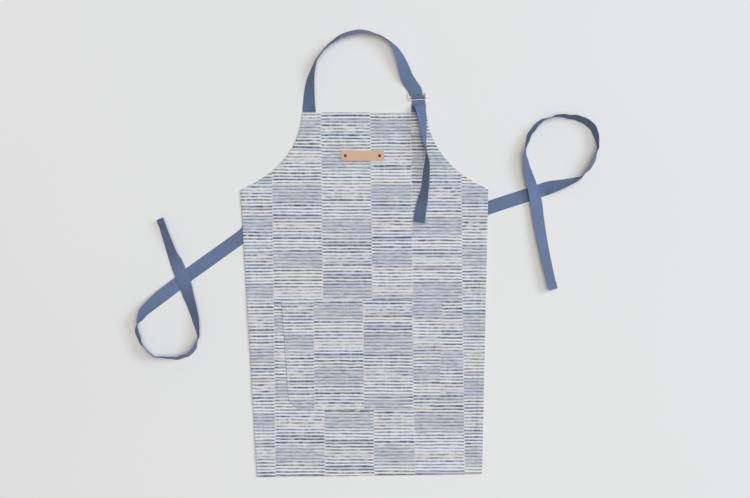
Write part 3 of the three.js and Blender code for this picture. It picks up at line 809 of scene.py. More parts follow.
    # stripes stop a little short of the column's edge, and a thin pale line runs between columns
    to_edge = s.math("MULTIPLY", to_edge, g["Column"])
    short = s.math("MULTIPLY", s.chance(row, column, 4.0), 0.0005)
    reach = s.step(to_edge, short, s.math("ADD", short, COLUMN_GAP))
    ink = s.math("ADD", s.math("MULTIPLY", stripe, s.inverse(washed)),
                 s.math("MULTIPLY", faint, washed))
    ink = s.math("MULTIPLY", ink, reach, clamp=True)

    # pale slubs of thread that take up less ink, running up the cloth
    slub = s.step(s.streaks(x, y, 0.0, 480.0, 14.0, 1.0), 0.56, 0.72)
    ink = s.math("MULTIPLY", ink, s.inverse(s.math("MULTIPLY", slub, 0.45)))
    s.feed(out["Color"], s.mix(ink, s.mix(washed, ground, wash), stroke))


def new_material(name):
    """A material, with the sheet of its nodes and its Principled shader."""
    material = bpy.data.materials.new(name)
    material.use_nodes = True
    tree = material.node_tree
    shader = tree.nodes["Principled BSDF"]
    return material, Sheet(tree), shader


def bump(sheet, shader, height, strength, distance):
    """Fine relief on the shader from a height."""
    made = sheet.node("ShaderNodeBump", {"Height": height})
    made.inputs["Strength"].default_value = strength
    made.inputs["Distance"].default_value = distance
    sheet.feed(shader.inputs["Normal"], made.outputs[0])


def print_material(name, shift, reverse=False):
    """Printed canvas, with the print shifted on its cloth; the reverse shows it only faintly."""
    look = settings("print")
    material, s, shader = new_material(name)
    place = s.node("ShaderNodeUVMap", uv_map="cloth").outputs[0]
    shifted = s.node("ShaderNodeVectorMath", operation="ADD")
    s.feed(shifted.inputs[0], place)
    shifted.inputs[1].default_value = shift
    pattern = use_group(s, "Brushed stripe print", Place=shifted.outputs[0], Pitch=look.pitch,
                        Column=look.column, Block=look.block, Ground=rgba(look.ground),
                        Stroke=rgba(look.stroke), Wash=rgba(look.wash))
    threads = use_group(s, "Crossing threads", Place=place, Warp_pitch=0.00062, Weft_pitch=0.00070)
    dye = use_group(s, "Uneven dye", Place=place, Depth=0.05)
    color = pattern["Color"]
    if reverse:
        color = s.mix(0.78, color, rgba(look.ground))
    shade = s.math("MULTIPLY", threads["Shade"], dye["Tone"])
    s.feed(shader.inputs["Base Color"], s.shaded(color, shade))
    s.feed(shader.inputs["Roughness"], s.math("MULTIPLY_ADD", dye["Nap"], 0.12, 0.80))
    shader.inputs["Sheen Weight"].default_value = 0.12
    shader.inputs["Sheen Roughness"].default_value = 0.45
    shader.inputs["Specular IOR Level"].default_value = 0.28
    height = s.math("ADD", threads["Height"], s.math("MULTIPLY", dye["Nap"], 0.5))
    bump(s, shader, height, 0.32, 0.00022)
    return material


def webbing_material():
    """Dyed webbing: ribs across, threads along, slightly paler at the rubbed selvedges."""
    look = settings("webbing")
    material, s, shader = new_material("strap_webbing")
    place = s.node("ShaderNodeUVMap", uv_map="cloth").outputs[0]
    across, _, _ = s.split(place)
    threads = use_group(s, "Crossing threads", Place=place, Warp_pitch=look.rib * 0.9,
                        Weft_pitch=look.rib, Twill=1.0)
    dye = use_group(s, "Uneven dye", Place=place, Depth=0.26)
    rubbed = s.step(s.math("ABSOLUTE", s.math("SUBTRACT", across, look.width / 2)),
                    look.width * 0.44, look.width * 0.5, 0.0, 0.22)
    pale = tuple(min(c * 1.9 + 0.03, 1) for c in look.color)
    color = s.mix(rubbed, rgba(look.color), rgba(pale))
    shade = s.math("MULTIPLY", threads["Shade"], dye["Tone"])
    s.feed(shader.inputs["Base Color"], s.shaded(color, shade))
    s.feed(shader.inputs["Roughness"], s.math("MULTIPLY_ADD", dye["Nap"], 0.1, 0.78))
    shader.inputs["Sheen Weight"].default_value = 0.08
    shader.inputs["Sheen Roughness"].default_value = 0.5
    shader.inputs["Specular IOR Level"].default_value = 0.14
    bump(s, shader, threads["Height"], 0.5, 0.0003)
    return material


def thread_material(name, color):
    """Twisted sewing thread."""
    material, s, shader = new_material(name)
    place = s.node("ShaderNodeTexCoord").outputs["Object"]
    dye = use_group(s, "Uneven dye", Place=place, Depth=0.12)
    x, y, z = s.split(place)
    ply = s.math("SINE", s.math("MULTIPLY", s.math("ADD", s.math("ADD", x, y), z), 9000.0))
    tone = s.math("MULTIPLY", dye["Tone"], s.math("MULTIPLY_ADD", ply, 0.08, 0.95))
    s.feed(shader.inputs["Base Color"], s.shaded(rgba(color), tone))
    s.feed(shader.inputs["Roughness"], s.math("MULTIPLY_ADD", dye["Nap"], 0.2, 0.5))
    shader.inputs["Sheen Weight"].default_value = 0.2
    bump(s, shader, ply, 0.3, 0.00005)
    return material


def leather_material():
    """Vegetable-tanned leather: fine grain, soft blotches, darker at the cut edge."""
    look = settings("trim")
    material, s, shader = new_material("label_leather")
    place = s.node("ShaderNodeTexCoord").outputs["Object"]
    x, y, _ = s.split(place)
    low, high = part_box("leather_label")
    blotch = s.noise(place, 55.0, 4.0, 0.6)
    grain = s.node("ShaderNodeTexVoronoi", {"Vector": place, "Scale": 1500.0})
    pores = s.noise(place, 2600.0, 2.0)
    to_side = s.math("MINIMUM", s.math("SUBTRACT", x, low.x), s.math("SUBTRACT", high.x, x))
    to_end = s.math("MINIMUM", s.math("SUBTRACT", y, low.y), s.math("SUBTRACT", high.y, y))
    rim = s.step(s.math("MINIMUM", to_side, to_end), 0.0002, 0.0016, 1.0, 0.0)
    dark = tuple(c * f for c, f in zip(look.leather, (0.62, 0.52, 0.45)))
    pale = tuple(min(c * f, 1) for c, f in zip(look.leather, (1.12, 1.20, 1.26)))
    color = s.mix(s.step(blotch, 0.36, 0.64), rgba(look.leather), rgba(pale))
    color = s.mix(s.math("MULTIPLY", rim, 0.7), color, rgba(dark))
    color = s.mix(s.math("MULTIPLY", s.step(pores, 0.62, 0.75), 0.18), color, rgba(dark))
    s.feed(shader.inputs["Base Color"], color)
    s.feed(shader.inputs["Roughness"], s.step(blotch, 0.2, 0.8, 0.62, 0.48))
    height = s.math("ADD", s.math("MULTIPLY", grain.outputs["Distance"], 0.8),
                    s.math("MULTIPLY", pores, 0.5))
    bump(s, shader, height, 0.35, 0.0002)
    return material


def metal_material(name, color, dull, roughness):
    """Plated metal, rubbed bright with dull patches and hair scratches."""
    material, s, shader = new_material(name)
    place = s.node("ShaderNodeTexCoord").outputs["Object"]
    patches = s.noise(place, 260.0, 4.0, 0.6)
    x, y, z = s.split(place)
    hairs = s.streaks(x, y, z, 500.0, 9000.0)
    s.feed(shader.inputs["Base Color"], s.mix(s.step(patches, 0.45, 0.75), rgba(color), rgba(dull)))
    rough = s.math("ADD", s.step(patches, 0.35, 0.75, roughness, roughness + 0.22),
                   s.math("MULTIPLY", hairs, 0.06))
    s.feed(shader.inputs["Roughness"], rough)
    shader.inputs["Metallic"].default_value = 1.0
    bump(s, shader, hairs, 0.06, 0.00004)
    return material


def surface_material():
    """Matt pale surface with the least unevenness of paint."""
    look = settings("stage")
    material, s, shader = new_material("pale_surface")
    place = s.node("ShaderNodeTexCoord").outputs["Object"]
    cloud = s.step(s.noise(place, 0.9, 2.0), 0.2, 0.8, 0.985, 1.015)
    s.feed(shader.inputs["Base Color"], s.shaded(rgba(look.floor), cloud))
    shader.inputs["Roughness"].default_value = 0.9
    shader.inputs["Specular IOR Level"].default_value = 0.2
    return material


def build_finishes():
    """Every node group and material, made once and kept by name."""
    build_weave_group()
    build_drift_group()
    build_print_group()
    trim = settings("trim")
    print_material("canvas_face", (0.0, 1.0, 0.0))
    print_material("canvas_back", (0.0, 1.0, 0.0), reverse=True)
    print_material("pocket_face", (-0.091, 1.1155, 0.0))
    print_material("hem_face", (0.044, 1.013, 0.0))
    webbing_material()
    thread_material("pale_thread", trim.thread)
    thread_material("blue_thread", (0.10, 0.14, 0.27))
    leather_material()
    metal_material("slide_plating", trim.copper, tuple(c * 0.72 for c in trim.copper), 0.40)
    metal_material("rivet_copper", trim.rivet, tuple(c * 0.55 for c in trim.rivet), 0.38)


def finish_of(name):
    """A finish made by build_finishes."""
    if name not in bpy.data.materials:
        raise RuntimeError(f"make the finishes before the pieces: {name} is missing")
    return bpy.data.materials[name]


# ---- stitches --------------------------------------------------------------------------------
def stitches(name, runs, surface, body, slot="pale_thread", radius=0.00028, nodes=(), pitch=None):
    """Rows of lockstitch along plane runs: one short pulled-in thread to each stitch."""
    pitch = pitch or settings("trim").stitch
    verts, faces = [], []
    rings = np.array([(-0.5, 0.25, -0.35), (-0.32, 0.85, 0.1), (0.0, 1.0, 0.35), (0.32, 0.85, 0.1),
                      (0.5, 0.25, -0.35)])
    sides = 6
    around = np.linspace(0, 2 * math.pi, sides, endpoint=False)
    for run in runs:
        points, _ = spaced(run, pitch)
        for a, b in zip(points[:-1], points[1:]):
            along = (b - a) / max(np.linalg.norm(b - a), 1e-9)
            side = np.array([-along[1], along[0]])
            centre = (a + b) / 2
            lift = float(surface(centre[0], centre[1]))
            first = len(verts)
            for share, fat, rise in rings:
                middle = centre + along * (pitch * 0.86 * share)
                for angle in around:
                    out = radius * fat * math.cos(angle)
                    up = radius * (fat * math.sin(angle) + rise)
                    verts.append((*(middle + side * out), lift + up))
            last = first + sides * (len(rings) - 1)
            for ring in range(first, last, sides):
                for k in range(sides):
                    n = (k + 1) % sides
                    faces.append((ring + k, ring + n, ring + sides + n, ring + sides + k))
            faces.append(tuple(first + k for k in reversed(range(sides))))
            faces.append(tuple(last + k for k in range(sides)))
    made = new_object(name, verts, faces, finish_of(slot))
    return finished(made, body, slot, *nodes)


def inset_run(run, distance):
    """A run moved to the left of its direction by a distance, corners kept."""
    points = np.asarray(run, float)
    into = points - np.vstack([points[:1], points[:-1]])
    out = np.vstack([points[1:], points[-1:]]) - points
    for pair in (into, out):
        lengths = np.linalg.norm(pair, axis=1, keepdims=True)
        np.divide(pair, np.where(lengths < 1e-9, 1, lengths), out=pair)
    into[~into.any(axis=1)] = out[~into.any(axis=1)]
    out[~out.any(axis=1)] = into[~out.any(axis=1)]
    bisector = into + out
    bisector /= np.linalg.norm(bisector, axis=1, keepdims=True)
    normal = np.stack([-bisector[:, 1], bisector[:, 0]], 1)
    stretch = 1 / np.maximum((bisector * into).sum(1), 0.5)
    return points + normal * (distance * stretch)[:, None]


# ---- routes of the webbing -------------------------------------------------------------------
SLIDE_LOW, SLIDE_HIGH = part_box("slide_buckle")
SLIDE = (SLIDE_LOW + SLIDE_HIGH) / 2
SLIDE_TURN = math.radians(4)
JOINT = {j["name"]: j for j in frame["joints"]}
TAIL_SPREAD = np.linspace(-0.013, 0.013, 5)    # places across the tail
TAIL_FROM, TAIL_TO = SLIDE.y - 0.016, 0.07    # where its travel starts and ends growing
UNDER = 0.6 * MM                 # middle of a strap lying on the surface
OVER = 2.1 * MM                  # middle of a strap lying on another
BEND = 2.35 * MM                 # how wide a strap bends round a bar
TOP_BAR = 6.9 * MM
BEND_END = 11 * MM
IN_SLIDE = 1.6 * MM              # the adjusting strap's middle, across the slide
LOOP_END = 26.8 * MM
LOOP_TOP = -11.4 * MM
LOOP_X = -3.4 * MM               # the loop's middle at the bar; the run leans to the left above
# Down to the top bar, in millimetres: along, aside, height going over and height coming back.
LOOP_RUN = [(21.5, -8.3, 2.5, 0.6), (17.0, -5.6, 3.3, 0.6), (13.0, -3.9, 4.6, 0.75),
            (9.6, -3.4, 6.05, 1.2)]


def from_slide(x, y):
    """A point given in the slide's own frame, in the apron's."""
    c, s = math.cos(SLIDE_TURN), math.sin(SLIDE_TURN)
    return SLIDE.x + x * c - y * s, SLIDE.y + x * s + y * c


def by_slide(x, y, z):
    """A station of strap at the slide, given in the slide's own frame."""
    return (*from_slide(x, y), z, 0.0)


def round_bar(x, bar_y, degrees):
    """Stations round a bar of the slide."""
    return [by_slide(x, bar_y + BEND * math.cos(a), SLIDE.z + BEND * math.sin(a))
            for a in np.radians(degrees)]


def arch_route():
    """The neck strap from the bib's left corner, over the top and down to its stitched end."""
    stations = [
        (STRAP_LEFT_X, ROOT_TOP, 0), (-0.124, 0.332, 22), (-0.1232, 0.359, 36),
        (-0.120, 0.3887, 54), (-0.1123, 0.419, 74), (-0.1013, 0.4416, 81), (-0.0835, 0.4618, 78),
        (-0.0608, 0.4805, 71), (-0.0389, 0.4906, 67), (-0.0151, 0.4964, 68), (0.0086, 0.4956, 76),
        (0.0326, 0.4882, 84), (0.0569, 0.4745, 84), (0.0698, 0.4595, 70), (0.0794, 0.4422, 55),
        (0.0888, 0.4166, 34)]
    route = [settle(x, y, -lean) for x, y, lean in stations]
    route.append(settle(0.096, 0.3945, -18, 0.3 * MM))
    route.append(settle(*from_slide(LOOP_TOP - 3.6 * MM, LOOP_END + 6.2 * MM), -2, OVER - UNDER))
    return route


def loop_route():
    """The strap's end, over the top bar of the slide and back under itself."""
    down = [by_slide(x * MM, y * MM, over * MM) for y, x, over, _ in LOOP_RUN]
    back = [by_slide(x * MM, y * MM, under * MM) for y, x, _, under in reversed(LOOP_RUN)]
    route = [by_slide(LOOP_TOP, LOOP_END, OVER), *down]
    route += round_bar(LOOP_X, TOP_BAR, range(90, 271, 30))
    return [*route, *back, by_slide(LOOP_TOP, LOOP_END, UNDER)]


def rise_route():
    """The adjusting strap from its sewn end up to the slide."""
    heights = (ROOT_LOW, ROOT_MIDDLE, ROOT_TOP, ROOT_TOP + 6 * MM)
    return [*((STRAP_RIGHT_X, y, UNDER, 0.0) for y in heights),
            *(by_slide(IN_SLIDE, y, UNDER) for y in (-BEND_END - 6 * MM, -BEND_END))]


def tail_route():
    """Round the middle bar, out under the low bar, and down over the bib, turning over once."""
    x = IN_SLIDE
    route = [by_slide(x, -BEND_END, UNDER), by_slide(x, -8 * MM, UNDER),
             by_slide(x, -4 * MM, UNDER + 0.15 * MM)]
    route += round_bar(x, 0.0, range(-90, 151, 30))
    route += [by_slide(x, -3.3 * MM, 3.5 * MM), by_slide(x, -4.4 * MM, 2.35 * MM),
              by_slide(x, -6 * MM, OVER), by_slide(x, -BEND_END, OVER)]
    hang = [
        (*from_slide(x, -BEND_END - 3.3 * MM), -4, OVER - UNDER), (0.1239, 0.3315, -20, 2 * MM),
        (0.1258, 0.3255, -35, ON_PANEL), (0.1276, 0.317, -42, ON_PANEL),
        (0.1294, 0.306, -48, ON_PANEL), (0.131, 0.296, -54, ON_PANEL),
        (0.1332, 0.274, -63, ON_PANEL), (0.1356, 0.249, -76, ON_PANEL),
        (0.1396, 0.2267, -90, ON_PANEL),
        (0.1408, 0.205, -108, ON_PANEL), (0.1395, 0.184, -118, ON_PANEL),
        (0.138, 0.1614, -122, ON_PANEL), (0.1355, 0.141, -126, ON_PANEL),
        (0.1312, 0.1187, -138, ON_PANEL), (0.127, 0.0984, -146, ON_PANEL + TURNED),
        (0.1231, 0.068, -150, ON_PANEL + TURNED)]
    for px, py, lean, base in hang:
        route.append(settle(px, py, lean, base + tail_lift(px, py)))
    return route


def tail_lift(x, y):
    """How much the tail is raised at a place to clear the cloth all along its travel."""
    share = 1 + np.clip((TAIL_FROM - y) / (TAIL_FROM - TAIL_TO), 0, 1)
    low, high = (share * reach for reach in JOINT["adjuster_travel"]["range_m"])
    if y + low > BIB_LEFT[1]:
        return 0.0
    up, along = np.meshgrid(np.linspace(y + low, min(y + high, BIB_LEFT[1]), 24), x + TAIL_SPREAD)
    return max(float(panel_top(along, up).max()) - ON_PANEL + 0.25 * MM, 0.0)


CROSSING = 2.3 * MM              # a tie over its own first run
# Stations of the free ties from the apron out: x, y, lean in degrees and height of the low edge.
TIES = {
    "left": [
        (-0.2902, 0.02597), (-0.318, 0.006), (-0.360, -0.0241), (-0.396, -0.050),
        (-0.4194, -0.069, -1), (-0.434, -0.0805, -6), (-0.450, -0.0928, -12),
        (-0.477, -0.1153, -30), (-0.4944, -0.132, -48), (-0.5045, -0.150, -74),
        (-0.510, -0.169, -108), (-0.505, -0.192, -112), (-0.4926, -0.2119, -98),
        (-0.4759, -0.2295, -94), (-0.458, -0.234, -98), (-0.4425, -0.2354, -102),
        (-0.425, -0.2356, -104), (-0.409, -0.234, -106), (-0.396, -0.2285, -105),
        (-0.3845, -0.218, -104), (-0.3765, -0.2035, -97), (-0.3725, -0.188, -78),
        (-0.374, -0.170, -66), (-0.3775, -0.1525, -55), (-0.3856, -0.1228, -43, 0.0004),
        (-0.3942, -0.0968, -30, 0.0016), (-0.4024, -0.0708, -14, CROSSING),
        (-0.4146, -0.0411, -8, CROSSING), (-0.423, -0.020, -22, 0.0008), (-0.4302, -0.0039, -37),
        (-0.4432, 0.0332, -48), (-0.4534, 0.0629, -53), (-0.458, 0.0763, -53)],
    "right": [
        (0.2889, 0.10455), (0.315, 0.1132), (0.345, 0.1228), (0.380, 0.1343), (0.395, 0.1394),
        (0.403, 0.1422, -1), (0.4134, 0.146, -14), (0.4353, 0.1517, -38), (0.4616, 0.1596, -60),
        (0.4792, 0.1665, -76), (0.492, 0.175, -94), (0.5055, 0.1912, -104), (0.517, 0.2118, -106),
        (0.523, 0.2294, -96), (0.5235, 0.2469, -84), (0.5186, 0.2688, -71), (0.5033, 0.2908, -67),
        (0.4792, 0.3015, -70), (0.4485, 0.307, -80), (0.4287, 0.3068, -86), (0.4112, 0.302, -96),
        (0.3915, 0.291, -104), (0.3761, 0.2732, -106), (0.367, 0.2535, -100),
        (0.3622, 0.237, -92), (0.361, 0.2228, -74), (0.3629, 0.2009, -61),
        (0.3682, 0.1789, -49, 0.0008), (0.3743, 0.157, -38, CROSSING),
        (0.3809, 0.1351, -29, CROSSING), (0.3858, 0.1131, -23, CROSSING),
        (0.3897, 0.0868, -26, 0.0004), (0.3954, 0.0517, -34), (0.4037, 0.0079, -40),
        (0.4134, -0.036, -45), (0.4245, -0.082, -48)],
}
TIE_WEAR = 0.00022
HIDDEN = {"left": 4, "right": 3}    # how many stations of the sewn end stay behind the panel


# ---- operators -------------------------------------------------------------------------------
SIGHT_OFF = Vector((0.019, 0.009, 0.0))    # from the middle of the part to under the camera
SENSOR = 36.0                    # millimetres
FLOOR_REACH = 30.0
WINDOW_PLACE, WINDOW_SIZE = Vector((7.6, 2.6, 7.2)), 4.5
WINDOW_COLOR, OVERHEAD_COLOR, ROOM_COLOR = (0.64, 0.83, 1.0), (1.0, 0.935, 0.865), (1.0, 0.98, 0.95)


def add_lamp(name, kind, energy, color):
    """A lamp in the scene."""
    light = bpy.data.lights.new(name, kind)
    light.energy, light.color = energy, color
    lamp = bpy.data.objects.new(name, light)
    bpy.context.scene.collection.objects.link(lamp)
    return lamp


class APRON_OT_stage(bpy.types.Operator):
    """Make the surface, the soft light and the camera straight above"""

    bl_idname = "apron.stage"
    bl_label = "Stage"

    def execute(self, context):
        look = settings("stage")
        scene = context.scene
        scene.view_settings.view_transform = "Standard"
        scene.view_settings.look = "None"
        camera = bpy.data.objects.new("camera_above", bpy.data.cameras.new("camera_above"))
        camera.data.sensor_width = SENSOR
        camera.data.lens = look.lens
        camera.location = (CAD_LOW + CAD_HIGH) / 2 + SIGHT_OFF
        camera.location.z = look.field * look.lens / SENSOR
        scene.collection.objects.link(camera)
        scene.camera = camera

        signs = ((-1, -1), (1, -1), (1, 1), (-1, 1))
        corners = [(x * FLOOR_REACH, y * FLOOR_REACH, 0) for x, y in signs]
        floor = new_object("surface", corners, [(0, 1, 2, 3)], surface_material())

        window = add_lamp("window_light", "AREA", look.window, WINDOW_COLOR)
        window.data.shape = "SQUARE"
        window.data.size = WINDOW_SIZE
        window.location = WINDOW_PLACE
        window.rotation_mode = "QUATERNION"
        window.rotation_quaternion = (-WINDOW_PLACE).to_track_quat("-Z", "Y")
        overhead = add_lamp("overhead_light", "SUN", look.overhead, OVERHEAD_COLOR)
        overhead.data.angle = math.radians(38)
        overhead.rotation_euler = (math.radians(-3), math.radians(7), 0)

        world = bpy.data.worlds.new("room")
        world.use_nodes = True
        background = world.node_tree.nodes["Background"]
        background.inputs["Color"].default_value = rgba(ROOM_COLOR)
        background.inputs["Strength"].default_value = look.fill
        scene.world = world
        return {"FINISHED"}


class APRON_OT_finishes(bpy.types.Operator):
    """Make the node groups and materials of cloth, webbing, leather, metal and thread"""

    bl_idname = "apron.finishes"
    bl_label = "Finishes"

    def execute(self, context):
        build_finishes()
        return {"FINISHED"}


class APRON_OT_waist_ties(bpy.types.Operator):
    """Make the two waist ties, each with its sewn end and its turned tip"""

    bl_idname = "apron.waist_ties"
    bl_label = "Waist ties"

    def execute(self, context):
        cloth = finish_of("strap_webbing")
        for side, free in TIES.items():
            hidden = TIE_ROOTS[side][:HIDDEN[side]]
            root = [settle(*p) for p in hidden]
            sewn, _ = webbing_mesh(f"{side}_tie_sewn_end", root, cloth, bow=0.0)
            finished(sewn, "apron", "webbing", f"{side}_tie_root")
            stations = [settle(*p) for p in (hidden[-1], *TIE_ROOTS[side][HIDDEN[side]:-1], *free)]
            tie, path = webbing_mesh(f"{side}_waist_tie", stations, cloth, wear=TIE_WEAR,
                                     seed=len(side))
            tip, _ = webbing_mesh(f"{side}_tie_turned_tip", stations, cloth, bow=0.0004,
                                  start=0.983, end=0.9995, offset=0.0012, narrow=0.0008)
            finished(tip, f"{side}_tie", "webbing", f"{side}_tie_end_fold")
            run = Vector((*free[1][:2], 0)) - Vector((*free[0][:2], 0))
            run.normalize()
            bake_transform(tie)
            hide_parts(f"{side}_tie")
            settings("webbing").width
        return {"FINISHED"}


class APRON_OT_neck_strap(bpy.types.Operator):
    """Make the neck strap with its end folded round the slide, and the adjusting strap"""

    bl_idname = "apron.neck_strap"
    bl_label = "Neck strap"

    def execute(self, context):
        cloth = finish_of("strap_webbing")
        sewn = [settle(STRAP_LEFT_X, y) for y in (ROOT_LOW, ROOT_MIDDLE, ROOT_TOP)]
        root, _ = webbing_mesh("neck_strap_sewn_end", sewn, cloth, bow=0.0)
        finished(root, "apron", "webbing", "neck_strap_root")

        arch, _ = webbing_mesh("neck_strap_arch", arch_route() + loop_route(), cloth, wear=0.00012,
                               seed=2, bow=0.0003, step=0.0022)
        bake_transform(arch)
        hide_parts("neck_strap", "neck_strap_end_loop")

        rise, _ = webbing_mesh("adjusting_strap_rise", rise_route(), cloth, bow=0.0)
        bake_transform(rise)
        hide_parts("adjuster_strap_root", "adjuster_strap")

        stations = tail_route()
        tail, _ = webbing_mesh("adjusting_strap_tail", stations, cloth, bow=0.0002, wear=0.0001,
                               seed=5, step=0.0018)
        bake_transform(tail)
        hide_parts("adjuster_strap_bend", "adjuster_strap_tail")
        tip, _ = webbing_mesh("adjusting_strap_turned_tip", stations, cloth, bow=0.0002,
                              start=0.956, end=0.9992, offset=0.0011, narrow=0.0008)
        finished(tip, "tail", "webbing", "tail_end_fold")
        return {"FINISHED"}


class APRON_OT_body(bpy.types.Operator):
    """Make the body panel, bib and skirt in one cut of printed canvas"""

    bl_idname = "apron.body"
    bl_label = "Body panel"

    def execute(self, context):
        body = slab("body_cloth", panel_grid(), panel_low, panel_top, finish_of("canvas_face"),
                    finish_of("canvas_back"))
        finished(body, "apron", "print_cloth", "body_panel")
        self.hems()
        return {"FINISHED"}

    def hems(self):
        """The hems turned to the back, each a strip under the panel."""
        def on_side(low, high, y):
            return np.interp(y, [low[1], high[1]], [low[0], high[0]]), y

        left, right = (FOOT_LEFT, WAIST_LEFT), (FOOT_RIGHT, WAIST_RIGHT)
        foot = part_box("left_side_hem")[0].y
        arc = np.linspace(0.3, 0.985, 16)
        top, tuck = BIB_LEFT[1], 0.002
        runs = {
            "left_armhole_hem": (
                np.vstack([bezier(ARMHOLE_LEFT, arc), [on_side(*left, 0.116)]]), SIDE_HEM),
            "right_armhole_hem": (
                np.vstack([bezier(ARMHOLE_RIGHT, arc), [on_side(*right, 0.124)]])[::-1], SIDE_HEM),
            "left_side_hem": ([on_side(*left, 0.012), on_side(*left, foot)], SIDE_HEM),
            "right_side_hem": ([on_side(*right, foot), on_side(*right, 0.074)], SIDE_HEM),
            "bottom_hem": ([(FOOT_LEFT[0] + tuck, FOOT_LEFT[1]),
                            (FOOT_RIGHT[0] - tuck, FOOT_RIGHT[1])], FOOT_HEM),
            "bib_top_hem": ([(0.103, top), (-0.106, top)], BIB_HEM)}
        face, made = finish_of("hem_face"), []
        for node, (run, width) in runs.items():
            hem = slab(f"{node}_cloth", strip_grid(run, 0.8 * MM, width), hem_low, hem_top, face,
                       face, 0.3 * MM)
            made.append(finished(hem, "apron", "print_cloth", node))
        return made


class APRON_OT_pocket(bpy.types.Operator):
    """Make the patch pocket with its mouth hem and its turned edges"""

    bl_idname = "apron.pocket"
    bl_label = "Pocket"

    def execute(self, context):
        face, hem_face = finish_of("pocket_face"), finish_of("hem_face")
        pocket = slab("pocket_cloth", pocket_grid(), pocket_low, pocket_top, face,
                      finish_of("canvas_back"))
        finished(pocket, "apron", "print_cloth", "pocket_panel")

        def turned_low(x, y):
            return panel_low(x, y) + CANVAS + 0.02 * MM

        def turned_top(x, y):
            return np.minimum(turned_low(x, y) + 0.6 * MM, pocket_low(x, y) - 0.02 * MM)

        low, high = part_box("pocket_top_hem")
        mouth = strip_grid([(high.x, high.y), (low.x, high.y)], 0.0, high.y - low.y)
        hem = slab("pocket_mouth_hem", mouth, turned_low, turned_top, hem_face, hem_face, 0.2 * MM)
        finished(hem, "apron", "print_cloth", "pocket_top_hem")
        start = low.y - 0.001
        run = [(POCKET_CUT[0][0] + 0.0025, start), *POCKET_CUT[1:-1],
               (POCKET_CUT[-1][0] - 0.001, start)]
        edges = self.paired(inset_run(run, 0.001), inset_run(run, 0.010))
        turned = slab("pocket_turned_edge", edges[:, ::-1], turned_low, turned_top, hem_face,
                      hem_face, 0.2 * MM)
        finished(turned, "apron", "print_cloth", "pocket_seam_allowance")
        return {"FINISHED"}

    @staticmethod
    def paired(outer, inner):
        """Points along both edges of the turned strip, the same number on each leg."""
        rows = []
        for i in range(len(outer) - 1):
            steps = max(int(np.linalg.norm(outer[i + 1] - outer[i]) / (6 * MM)), 2)
            for t in np.linspace(0, 1, steps, endpoint=False):
                rows.append([line[i] * (1 - t) + line[i + 1] * t for line in (outer, inner)])
        rows.append([outer[-1], inner[-1]])
        return np.array(rows)


class APRON_OT_stitching(bpy.types.Operator):
    """Sew the hems, the pocket, the strap ends and the bar tacks"""

    bl_idname = "apron.stitching"
    bl_label = "Stitching"

    def execute(self, context):
        arc = np.linspace(0, 1, 40)
        top = BIB_LEFT[1]
        left = np.vstack([bezier(ARMHOLE_LEFT, arc), [FOOT_LEFT]])
        right = np.vstack([[FOOT_RIGHT], bezier(ARMHOLE_RIGHT, arc[::-1])])
        rows = [inset_run(left, SIDE_SEAM), inset_run(right, SIDE_SEAM)]
        rows.append(inset_run([FOOT_LEFT, FOOT_RIGHT], FOOT_SEAM))
        rows.append([(BIB_LEFT[0] + 0.004, top - BIB_SEAM), (BIB_RIGHT[0] - 0.004, top - BIB_SEAM)])
        rows.append([(BIB_LEFT[0] + 0.003, top - 0.003), (BIB_RIGHT[0] - 0.003, top - 0.003)])
        stitches("hem_stitches", rows, panel_top, "apron")

        rows = [inset_run(POCKET_CUT, at) for at in POCKET_SEAMS]
        rows.append([(POCKET_CUT[0][0] + 0.004, POCKET_TOP - POCKET_HEM_SEAM),
                     (POCKET_CUT[-1][0] - 0.004, POCKET_TOP - POCKET_HEM_SEAM)])
        stitches("pocket_stitches", rows, pocket_top, "apron")

        for side in ("left", "right"):
            low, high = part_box(f"pocket_{side}_bar_tack")
            zigzag = [(x, low.y if i % 2 else high.y)
                      for i, x in enumerate(np.arange(low.x, high.x, 0.00045))]
            stitches(f"{side}_bar_tack_thread", [zigzag], pocket_top, "apron", pitch=0.0026,
                     nodes=(f"pocket_{side}_bar_tack",))
        for name in ("neck_strap", "adjuster_strap", "left_tie", "right_tie"):
            low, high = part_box(f"{name}_stitch_box")
            corners = [(low.x, low.y), (high.x, low.y), (high.x, high.y), (low.x, high.y)]
            box = [np.array([corners[i], corners[(i + 1) % 4]]) for i in range(4)]
            box += [np.array([corners[0], corners[2]]), np.array([corners[1], corners[3]])]
            stitches(f"{name}_box_stitches", box, panel_top, "apron", nodes=(f"{name}_stitch_box",))

        over = OVER + UNDER + 0.1 * MM
        ends = [from_slide(LOOP_TOP + 1.25 * MM + x, LOOP_END - 2.1 * MM + 0.585 * x)
                for x in (-11.5 * MM, 11.5 * MM)]
        stitches("end_loop_stitches", [np.array(ends)], lambda x, y: over, "adjuster",
                 "blue_thread", nodes=("end_loop_stitch_row",))
        return {"FINISHED"}


